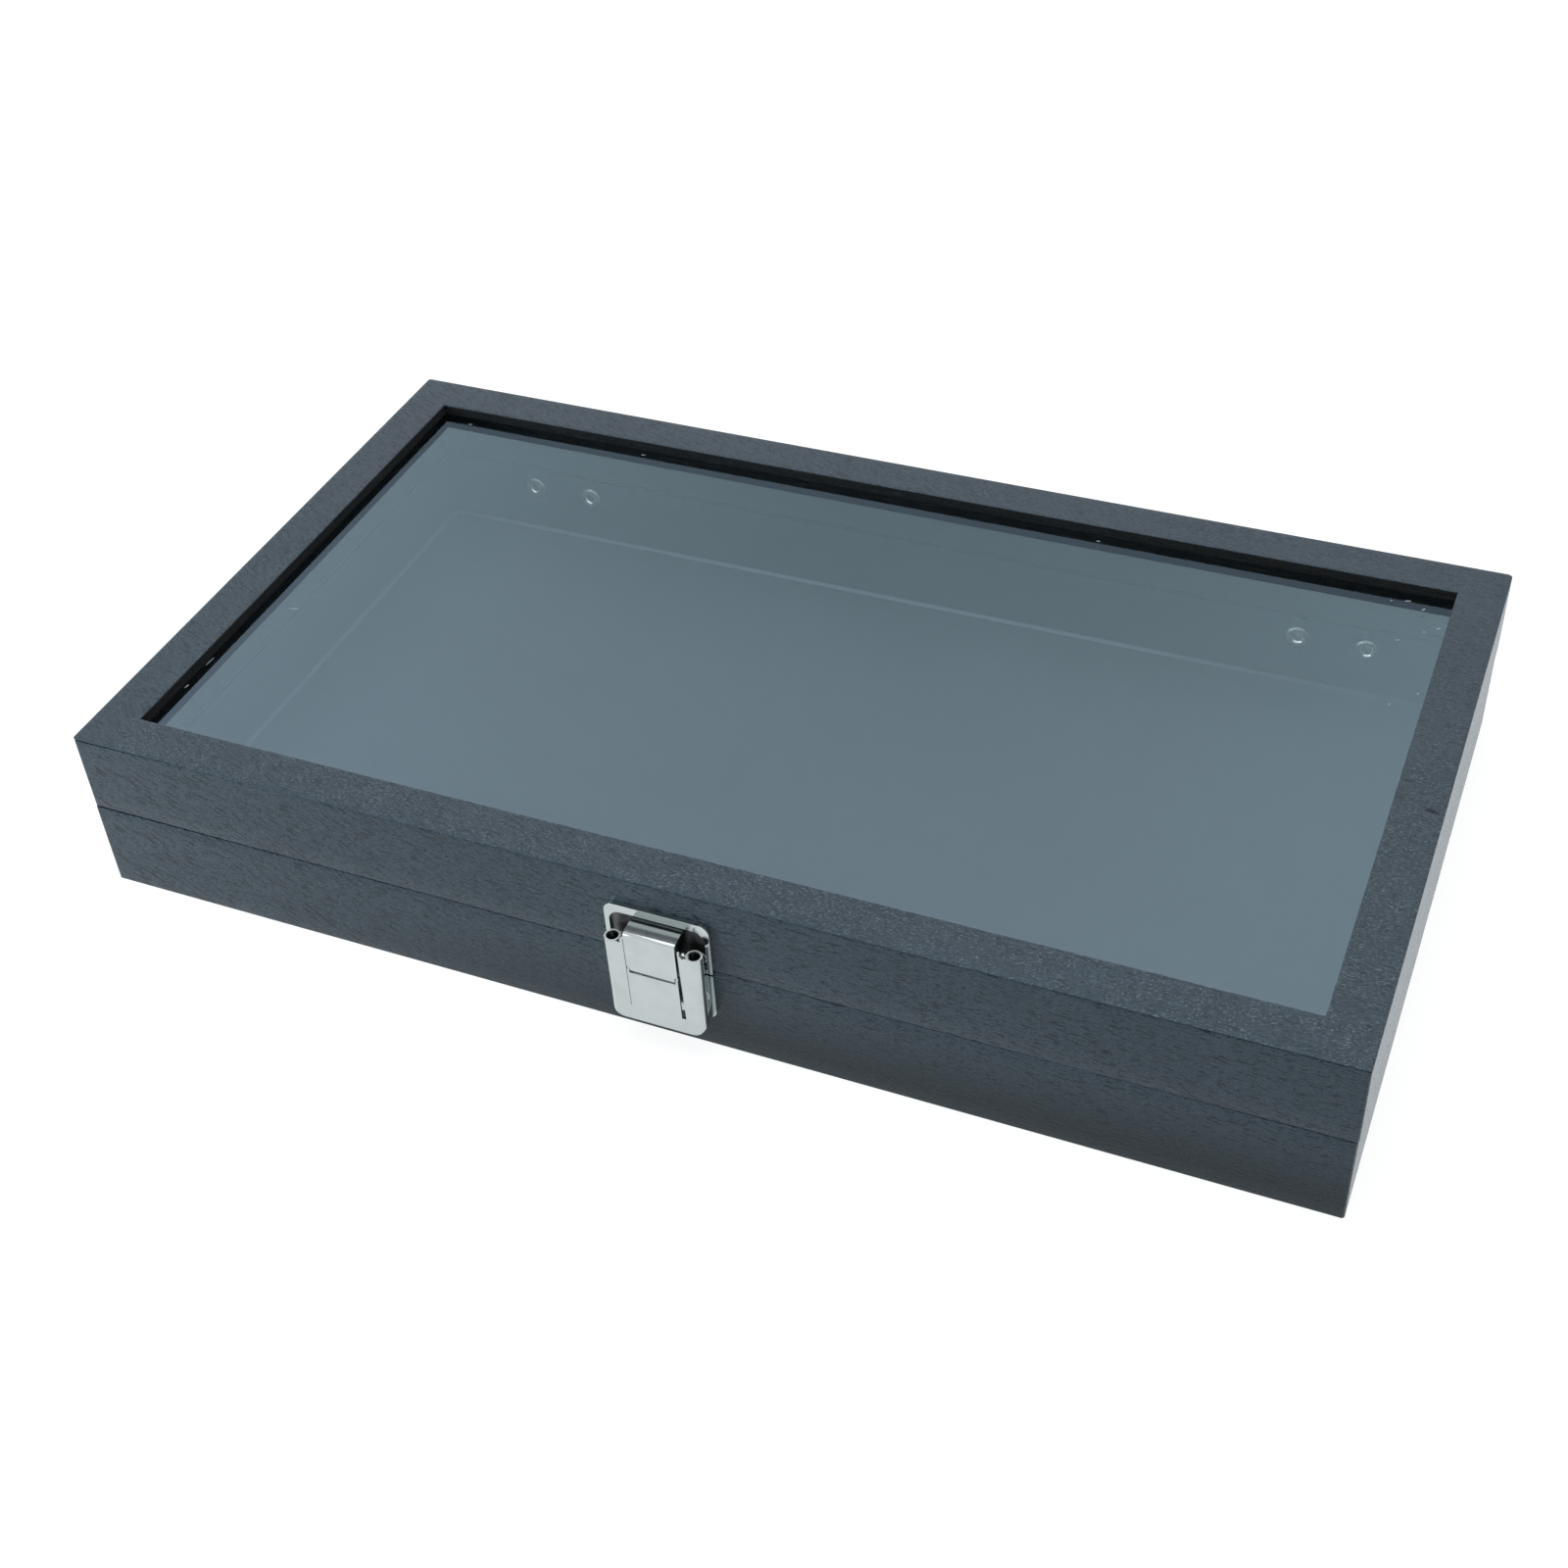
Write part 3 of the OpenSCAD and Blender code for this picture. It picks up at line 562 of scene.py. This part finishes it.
def face_out(piece):
    """Turns every face of a closed mesh outwards and shades it smoothly."""
    work = bmesh.new()
    work.from_mesh(piece.data)
    bmesh.ops.recalc_face_normals(work, faces=work.faces)
    work.to_mesh(piece.data)
    work.free()
    piece.data.shade_smooth()
    piece.data.set_sharp_from_angle(angle=math.radians(40))


def dress(piece, body, slot, *materials):
    """Turns a new piece's faces out and gives it its materials and body; the slot argument is not used."""
    face_out(piece)
    for material in materials:
        piece.data.materials.append(material)
    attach(piece, body)


def outline(size_x, size_y, radii, shift_x):
    """Points round a rectangle, anticlockwise from above, each with its way out.

    The radii belong to the front right, rear right, rear left and front left corners.
    """
    points = []
    for side in range(4):
        angle = side * math.pi / 2
        along = Vector((math.cos(angle), math.sin(angle)))
        out = Vector((math.sin(angle), -math.cos(angle)))
        lengthwise = side % 2 == 0
        reach, offset = (size_x, size_y) if lengthwise else (size_y, size_x)
        count = round(2 * (half_x if lengthwise else half_y) / side_step)
        start = radii[side - 1] - reach
        end = reach - radii[side]
        for step in range(count + 1):
            points.append((along * (start + (end - start) * step / count) + out * offset, out))
        radius = radii[side]
        centre = along * end + out * (offset - radius)
        for step in range(1, corner_steps):
            turn = step / corner_steps * math.pi / 2
            ray = out * math.cos(turn) + along * math.sin(turn)
            points.append((centre + radius * ray, ray))
    shift = Vector((shift_x, 0.0))
    return [(point + shift, out) for point, out in points]


def arc(centre, radius, start, end, steps):
    """Points of a profile on a circle about centre, from start to end in degrees."""
    points = []
    for step in range(steps + 1):
        angle = math.radians(start + (end - start) * step / steps)
        points.append((centre[0] + radius * math.cos(angle), centre[1] + radius * math.sin(angle)))
    return points


def upright(low, high, shares):
    """Points of a profile up the outer face, at shares of the way from low to high."""
    return [(0.0, low + share * (high - low)) for share in shares]


def swept_points(profile, shift_x, narrow, flat_grain, relief):
    """The points of a profile carried round the case, and their places on the grain map."""
    vertices = []
    grain = []
    run = 0.0
    before = profile[0]
    for inset, height in profile:
        run += math.hypot(inset - before[0], height - before[1])
        before = (inset, height)
        radii = [max(radius - inset, smallest_radius) for radius in corner_radii]
        ring = outline(half_x - narrow - inset, half_y - inset, radii, shift_x)
        travel = 0.0
        last = ring[0][0]
        for point, out in ring:
            travel += (point - last).length
            last = point
            spot = Vector((point.x, point.y, height))
            grain.append((point.x + height, point.y + height) if flat_grain else (travel, run))
            if relief:
                outward, upward = relief(spot, out, inset)
                spot += Vector((out.x * outward, out.y * outward, upward))
            vertices.append(spot)
    return vertices, grain


def map_grain(mesh, grain, rows, columns, flat_grain):
    """Lays the grain map on a swept mesh; where a map round the case closes, it runs on past its end."""
    step_along = Vector((side_step, 0.0))
    step_up = Vector((0.0, smallest_radius))
    loops = []
    for face in mesh.polygons:
        values = [Vector(grain[index]) for index in face.vertices]
        if not flat_grain and face.index % columns == columns - 1:
            values[1] = values[0] + step_along
            values[2] = values[3] + step_along
        if not flat_grain and face.index // columns == rows - 1:
            values[2] = values[1] + step_up
            values[3] = values[0] + step_up
        for value in values:
            loops.extend(value)
    mesh.uv_layers.new(name="grain").data.foreach_set("uv", loops)


def sweep(name, profile, shift_x=0.0, narrow=0.0, flat_grain=False, relief=None):
    """A closed profile of (inset, height) points carried round the case's outline.

    relief(spot, out, inset) gives how far a point goes out and up. The grain map holds metres:
    round the case and up it, or in plan where flat_grain is set.
    """
    vertices, grain = swept_points(profile, shift_x, narrow, flat_grain, relief)
    rows = len(profile)
    columns = len(vertices) // rows
    faces = []
    for row in range(rows):
        above = (row + 1) % rows
        for column in range(columns):
            beside = (column + 1) % columns
            faces.append((row * columns + column, row * columns + beside,
                          above * columns + beside, above * columns + column))
    piece = add_mesh(name, vertices, faces)
    map_grain(piece.data, grain, rows, columns, flat_grain)
    return piece


def color_rows(piece, profile, first, last, index):
    """Gives the faces of some rows of a swept piece another of its materials."""
    count = len(piece.data.polygons) // len(profile)
    for polygon in piece.data.polygons:
        if first <= polygon.index // count <= last:
            polygon.material_index = index


def wave(spot, per_metre):
    """Smooth noise from -1 to 1 at a spot."""
    return noise.noise(spot * per_metre)


def hump(value, centre, reach):
    """1 at the centre, falling smoothly to 0 on either side."""
    return math.exp(-((value - centre) / reach) ** 2)


def on_front(out):
    """Whether a place on the outline looks to the front."""
    return out.y <= -0.5


def paper_ripple(spot):
    """Slight waves in a glued covering, only inwards so that the case keeps its size."""
    depth = 0.03 * MM
    return -depth * (1.0 + wave(spot, 60))


def seam_closing(spot, out):
    """How far the lips of the seam come towards each other; they part at the left of the front."""
    if not on_front(out):
        return 0.06 * MM * (1.0 + wave(spot, 40))
    middle = 0.08 * MM * hump(spot.x, 50 * MM, 110 * MM)
    closed = 0.09 * MM * hump(spot.x, 125 * MM, 22 * MM)
    parted = 0.24 * MM * math.exp(-(spot.x + half_x) / (45 * MM))
    return middle + closed - parted


def groove_opening(spot, out):
    """How far the groove under the top sheet opens: most at the left of the front, then at its right."""
    if not on_front(out):
        return 0.1 * MM * (1.0 + wave(spot, 300))
    left = 0.6 * MM * max(0.0, 1.0 - (spot.x + half_x) / (52 * MM))
    rightwards = (1.0 + math.tanh((spot.x - 90 * MM) / (30 * MM))) / 2
    right = 0.2 * MM * rightwards * (1.0 + wave(spot, 350))
    fuzz = 0.03 * MM * (1.0 + wave(spot, 900))
    return left + right + fuzz


def base_cover(material, edge_material):
    """The tray's covering: its sides, rounded edges, and the turned-in rim that meets the lid."""
    low = bottom_low.z + foot_clearance
    top = base_high.z
    foot_radius = 0.15 * MM
    profile = [(wrap_thickness, low)]
    profile += arc((foot_radius, low + foot_radius), foot_radius, 270, 180, 4)
    profile += upright(low, top, (0.2, 0.4, 0.6, 0.8))
    profile += arc((edge_radius, top - edge_radius), edge_radius, 180, 90, 4)
    rim_row = len(profile)
    profile += [(wall_thickness / 2, top), (wall_thickness, top)]
    profile += [(wall_thickness, top - wrap_thickness), (wrap_thickness, top - wrap_thickness)]

    def relief(spot, out, inset):
        at_seam = inset < wrap_thickness and spot.z > top - 2 * edge_radius
        upward = seam_closing(spot, out) if at_seam else 0.0
        return paper_ripple(spot), upward

    piece = sweep("base_cover", profile, -lid_sideways, lid_sideways, relief=relief)
    # The turned-in rim at the seam takes the dark paper: painted shade in the seam.
    color_rows(piece, profile, rim_row, rim_row + 2, 1)
    dress(piece, "base", "leatherette", material, edge_material)
    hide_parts("base_wrap")


def bottom_cover(material):
    """The sheet glued under the tray, inside the foot of the side covering."""
    radii = [radius - wrap_thickness for radius in corner_radii]
    ring = outline(half_x - lid_sideways - wrap_thickness, half_y - wrap_thickness, radii, -lid_sideways)
    count = len(ring)
    vertices = []
    for height in (bottom_low.z, bottom_high.z):
        vertices += [(point.x, point.y, height) for point, out in ring]
    faces = [tuple(range(count)), tuple(range(count, 2 * count))]
    for start in range(count):
        beside = (start + 1) % count
        faces.append((start, beside, count + beside, count + start))
    piece = add_mesh("bottom_cover", vertices, faces)
    dress(piece, "base", "leatherette", material)
    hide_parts("base_bottom_sheet")


def lid_cover(material, edge_material):
    """The lid's side covering, turned in below, with a dark groove above where the top sheet meets it."""
    low = lid_low.z
    top = lid_high.z
    lip = top - groove_height
    profile = [(wall_thickness, low + wrap_thickness), (wall_thickness, low), (wall_thickness / 2, low)]
    profile += arc((edge_radius, low + edge_radius), edge_radius, 270, 180, 4)
    profile += upright(low, top, (0.25, 0.5, 0.75, 0.93))
    profile += arc((edge_radius, lip - edge_radius), edge_radius, 180, 90, 4)
    groove_row = len(profile) - 1
    profile += [(groove_depth, lip), (groove_depth, top)]
    profile += [(wrap_thickness, top), (wrap_thickness, low + wrap_thickness)]

    def relief(spot, out, inset):
        upward = 0.0
        if inset < wrap_thickness and spot.z < low + 2 * edge_radius:
            upward = -seam_closing(spot, out)
        elif inset < wrap_thickness and lip - 2 * edge_radius < spot.z < top - groove_height / 2:
            upward = -groove_opening(spot, out)
        return paper_ripple(spot), upward

    piece = sweep("lid_cover", profile, lid_sideways, lid_sideways, relief=relief)
    # The groove and the turned-in foot of the lid take the dark paper: painted shade in the groove and the
    # seam.
    color_rows(piece, profile, groove_row, groove_row + 1, 1)
    color_rows(piece, profile, 0, 1, 1)
    dress(piece, "lid", "leatherette", material, edge_material)
    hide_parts("lid_side_wrap")


def lid_top_cover(material, edge_material):
    """The sheet on the top frame, with its cut outer edge and the napped black edge of the window."""
    top = sheet_high.z
    under = lid_high.z
    foot = sheet_low.z
    lip = 0.16 * MM
    inner_lip = 0.3 * MM
    undercut = 0.05 * MM
    nap = 0.07 * MM
    profile = [(undercut, under)]
    profile += arc((lip, top - lip), lip, 180, 90, 3)
    profile += [(share * rim_width, top) for share in (0.12, 0.3, 0.5, 0.7, 0.88)]
    profile += arc((rim_width - inner_lip, top - inner_lip), inner_lip, 90, 0, 4)
    edge_row = len(profile) - 2
    for share in (0.3, 0.55, 0.8, 1.0):
        profile.append((rim_width, top - inner_lip + share * (foot - top + inner_lip)))
    profile += [(rim_width - sheet_thickness, foot), (rim_width - sheet_thickness, under)]

    def relief(spot, out, inset):
        if inset < rim_width - 1.5 * inner_lip or spot.z < foot + sheet_thickness:
            return 0.0, 0.0
        return nap * (wave(spot, 700) + 0.5 * wave(spot, 1500)), 0.0

    piece = sweep("lid_top_cover", profile, lid_sideways, lid_sideways, flat_grain=True, relief=relief)
    color_rows(piece, profile, edge_row, len(profile), 1)
    dress(piece, "lid", "leatherette", material, edge_material)
    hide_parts("lid_top_sheet")


def lining_foot(material):
    """The hollow fold where the wall lining runs out onto the floor pad."""
    radius = 0.9 * MM
    hidden = 0.05 * MM
    floor = pad_high.z
    profile = [(wall_thickness - hidden, floor - hidden), (wall_thickness - hidden, floor + radius)]
    profile += arc((wall_thickness + radius, floor + radius), radius, 180, 270, 6)
    profile += [(wall_thickness + radius, floor - hidden)]
    piece = sweep("lining_foot", profile)
    dress(piece, "base", "wall_lining", material)


def rubbed_corner(material):
    """Torn paper along the tray's right front corner, rubbed through below the seam."""
    top = base_high.z - 0.4 * MM
    length = 9.0 * MM
    count = 30
    front = -half_y + 0.25 * MM
    thickness = 0.12 * MM
    root = half_x - 0.7 * MM
    torn_back = half_x - 0.28 * MM
    fray_reach = 0.24 * MM
    taper = 0.6
    vertices = []
    for step in range(count + 1):
        height = top - length * step / count
        fray = 0.5 + 0.5 * wave(Vector((0.0, 0.0, height)), 900)
        tip = torn_back + fray_reach * fray * (1.0 - taper * step / count)
        vertices += [(root, front, height), (tip, front, height)]
        vertices += [(tip, front + thickness, height), (root, front + thickness, height)]
    faces = []
    for start in range(0, 4 * count, 4):
        for side in range(4):
            beside = (side + 1) % 4
            faces.append((start + side, start + beside, start + 4 + beside, start + 4 + side))
    faces += [(0, 1, 2, 3), tuple(4 * count + side for side in range(4))]
    piece = add_mesh("rubbed_corner", vertices, faces)
    dress(piece, "base", "leatherette", material)


def add_fleck(work, x_mm, y_mm, length_mm, width_mm, turn):
    """Adds one low, uneven fleck on the glass to a mesh in work."""
    sides = 9
    rise = 0.05 * MM
    unevenness = 0.35
    centre = Vector((x_mm * MM, y_mm * MM, glass_high.z))
    rim = []
    for side in range(sides):
        angle = 2 * math.pi * side / sides
        uneven = 1.0 + unevenness * wave(centre + Vector((math.cos(angle), math.sin(angle), 0.0)), 3)
        flat = Vector((length_mm * MM / 2 * math.cos(angle), width_mm * MM / 2 * math.sin(angle), 0.0))
        rim.append(work.verts.new(centre + Matrix.Rotation(turn, 3, "Z") @ flat * uneven))
    peak = work.verts.new(centre + Vector((0.0, 0.0, rise)))
    work.faces.new(rim)
    for side in range(sides):
        work.faces.new((rim[side], rim[(side + 1) % sides], peak))


def glass_lint(material):
    """Flecks of glue and lint on the glass, most of them near its rear right corner."""
    # Place, length and width in millimetres, and turn in radians
    flecks = (
        (-161.4, 87.3, 1.6, 0.5, 0.2), (-95.2, 88.3, 1.8, 0.5, 0.1), (63.8, 87.7, 1.4, 0.5, 0.0),
        (160.1, 86.8, 2.2, 0.6, 0.3), (-172.4, -57.5, 4.5, 0.4, 1.5), (-172.2, -70.0, 2.0, 0.5, 1.4),
        (-162.3, -25.7, 3.6, 0.4, 0.3), (155.4, 85.5, 0.7, 0.5, 0.4), (165.2, 84.0, 1.6, 0.6, 0.9),
        (167.3, 73.1, 0.7, 0.5, 0.0), (171.1, 76.1, 1.6, 0.5, 0.7), (160.8, 66.8, 1.2, 0.5, 0.2),
        (171.0, 43.7, 0.8, 0.5, 0.2), (164.3, 36.3, 0.8, 0.5, 0.6),
    )
    work = bmesh.new()
    for fleck in flecks:
        add_fleck(work, *fleck)
    mesh = bpy.data.meshes.new("glass_lint")
    work.to_mesh(mesh)
    work.free()
    dress(add_object("glass_lint", mesh), "lid", "wall_lining", material)


def paint(node, material):
    """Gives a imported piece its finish."""
    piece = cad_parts[node]
    piece.data.materials.clear()
    piece.data.materials.append(material)


def finish_metal(node, material, edge):
    """Rounds the sharp edges of a packed metal piece and gives it its finish."""
    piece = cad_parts[node]
    paint(node, material)
    piece.modifiers.new("join", "WELD").merge_threshold = 0.002 * MM
    flat = piece.modifiers.new("flat_faces", "DECIMATE")
    flat.decimate_type = "DISSOLVE"
    flat.angle_limit = math.radians(0.5)
    bevel = piece.modifiers.new("rounded_edges", "BEVEL")
    bevel.width = edge
    bevel.segments = 3
    bevel.limit_method = "ANGLE"
    bevel.angle_limit = math.radians(35)
    bevel.use_clamp_overlap = True
    bevel.material = 0
    bevel.harden_normals = True


def finish_faces(node, material, chosen):
    """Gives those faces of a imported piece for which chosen(face) is true a further finish."""
    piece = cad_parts[node]
    index = len(piece.data.materials)
    piece.data.materials.append(material)
    for face in piece.data.polygons:
        if chosen(face):
            face.material_index = index


def darken_sunk_faces(node, material):
    """Gives the faces that lie well behind a plate's front a dark metal finish: painted shade in the sunk
    field.
    """
    sunk_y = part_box(node)[0].y + sunk_depth
    finish_faces(node, material, lambda face: face.normal.y < -squarely and face.center.y > sunk_y)


def finish_sheared_ends(node, material):
    """Gives the cut ends at the top of a sheet metal piece their matte finish."""
    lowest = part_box(node)[1].z - sheared_reach
    finish_faces(node, material, lambda face: face.normal.z > squarely and face.center.z > lowest)


def blacken_underside(node, material):
    """Gives the faces that look down the black paper that is turned in under a board."""
    finish_faces(node, material, lambda face: face.normal.z < -squarely)


def finish_rivet_rims(node, leaves, outer_material, inner_material):
    """Gives the rolled ends inside the tray a dull outer half and a bright rim round the hole."""
    low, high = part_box(node)
    middle = (low.z + high.z) / 2
    inside_y = half_y - wall_thickness / 2
    centres = []
    for leaf in leaves:
        leaf_low, leaf_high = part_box(leaf)
        for side in (-1, 1):
            centres.append((leaf_low.x + leaf_high.x) / 2 + side * hinge_rivet_pitch / 2)

    def on_ring(face):
        across = min(abs(face.center.x - centre) for centre in centres)
        return math.hypot(across, face.center.z - middle) > rivet_ring_radius

    finish_faces(node, outer_material, lambda face: face.center.y < inside_y and on_ring(face))
    finish_faces(node, inner_material, lambda face: face.center.y < inside_y and not on_ring(face))


def make_camera():
    """The camera, above the front of the case and to the right of its middle."""
    place = Vector((0.21138, -0.46935, 0.45466))
    aim = Vector((-0.01095, 0.00255, 0.0))
    roll = math.radians(-3.966)
    data = bpy.data.cameras.new("camera")
    data.lens = 50.474
    data.sensor_width = 36.0
    data.clip_start = 0.01
    camera = add_object("camera", data)
    turn = (aim - place).to_track_quat("-Z", "Y").to_matrix().to_4x4()
    camera.matrix_world = Matrix.Translation(place) @ turn @ Matrix.Rotation(roll, 4, "Z")
    bpy.context.scene.camera = camera


def make_world():
    """A white surround that lights the case softly."""
    shader = Shader("surround", "worlds")
    shader.finish({"Color": rgb(0.93, 0.97, 1.0), "Strength": 0.36})
    shown = shader.node("Background", {"Color": rgb(1, 1, 1), "Strength": 1.0})
    mixed = shader.mix_shaders(shader.rays(*SEEN_RAYS), shader.surface, shown)
    bpy.context.scene.world = shader.show(mixed)


def make_floor():
    """A plain pale floor that keeps the shadow of the case."""
    reach = 30.0
    drop = 0.05 * MM
    corners = [(-reach, -reach, 0), (reach, -reach, 0), (reach, reach, 0), (-reach, reach, 0)]
    floor = add_mesh("stage_floor", corners, [(0, 1, 2, 3)])
    floor.location.z = -drop
    shader = Shader("stage_floor")
    card = shader.node("BsdfDiffuse", {"Color": rgb(0.3, 0.3, 0.3)})
    pale = shader.node("BsdfDiffuse", {"Color": rgb(0.42, 0.42, 0.42)})
    glow = shader.node("Emission", {"Strength": 0.85})
    lit = shader.node("AddShader", {0: pale.outputs[0], 1: glow.outputs[0]})
    mixed = shader.mix_shaders(shader.rays(*SEEN_RAYS), card, lit)
    floor.data.materials.append(shader.show(mixed))


def make_lamp(name, place, size, power, color):
    """A large soft lamp aimed at the case."""
    data = bpy.data.lights.new(name, "AREA")
    data.energy = power
    data.color = color
    data.size = size
    lamp = add_object(name, data)
    lamp.location = place
    lamp.rotation_euler = (-Vector(place)).to_track_quat("-Z", "Y").to_euler()


make_camera()
make_world()
make_floor()
make_lamp("top_light", (-0.05, 0.1, 1.5), size=1.3, power=7.6, color=(1.0, 1.0, 1.0))
make_lamp("left_light", (-0.6, -0.55, 0.2), size=0.3, power=2.0, color=(0.70, 0.91, 1.0))
bpy.context.scene.view_settings.view_transform = "Standard"

side_leatherette = leatherette("side_leatherette", dark_share=0.95, highlight_share=0.25, lean=0.45,
                               dash_turn=0.9, roughness=(0.2, 0.3), scuff_mm=(187.5, 40.0, 12.0))
top_leatherette = leatherette("top_leatherette", dark_share=0.45, highlight_share=0.85, lean=0.5,
                              dash_turn=-0.26, roughness=(0.31, 0.42), scuff_mm=(184.0, -8.9, 56.0))
groove_and_seam_shade = groove_shade_paper()
window_black = black_edge("window_black", sheet_high.z)
stop_black = black_edge("stop_black")
lining = lining_paper()
board = fibreboard()
nickel = plated_metal("nickel", (0.49, 0.535, 0.54), 0.10)
rivet_nickel = plated_metal("rivet_nickel", (0.85, 0.87, 0.88), 0.14)
sunk_shade_nickel = plated_metal("sunk_shade_nickel", (0.11, 0.111, 0.112), 0.3)
dull_nickel = plated_metal("dull_nickel", (0.36, 0.37, 0.375), 0.4)
cut_nickel = plated_metal("cut_nickel", (0.8, 0.82, 0.83), 0.5)
steel = plated_metal("steel_wire", (0.5, 0.5, 0.51), 0.25)

base_cover(side_leatherette, groove_and_seam_shade)
bottom_cover(bottom_paper())
lid_cover(side_leatherette, groove_and_seam_shade)
lid_top_cover(top_leatherette, window_black)
lining_foot(fold_highlight())
rubbed_corner(torn_paper())
glass_lint(dried_glue())

sheet_metal = ("latch_lever", "latch_claw", "keeper_rivets", "catch_rivets")
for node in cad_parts:
    if "rail" in node or "board" in node or node.startswith("top_frame"):
        paint(node, board)
    elif node.startswith("glass_stop"):
        paint(node, stop_black)
    elif node in sheet_metal or node.endswith("_leaf"):
        finish_metal(node, nickel, sheet_edge)
    elif node in ("keeper_plate", "catch_plate"):
        finish_metal(node, nickel, plate_edge)
    elif node.endswith("hinge_rivets"):
        finish_metal(node, nickel, rivet_edge)
    elif node.endswith("pin") or node.endswith("pins"):
        finish_metal(node, steel, wire_edge)
for side in ("front", "rear", "left", "right"):
    blacken_underside("top_frame_" + side, stop_black)
base_leaves = ("left_hinge_base_leaf", "right_hinge_base_leaf")
finish_rivet_rims("base_hinge_rivets", base_leaves, dull_nickel, rivet_nickel)
finish_sheared_ends("latch_lever", cut_nickel)
# The keeper plate's sunk field gets painted shade as dark metal.
darken_sunk_faces("keeper_plate", sunk_shade_nickel)
paint("base_lining", lining)
paint("lid_lining", lining)
paint("floor_pad", floor_cloth())
paint("glass_pane", clear_glass())
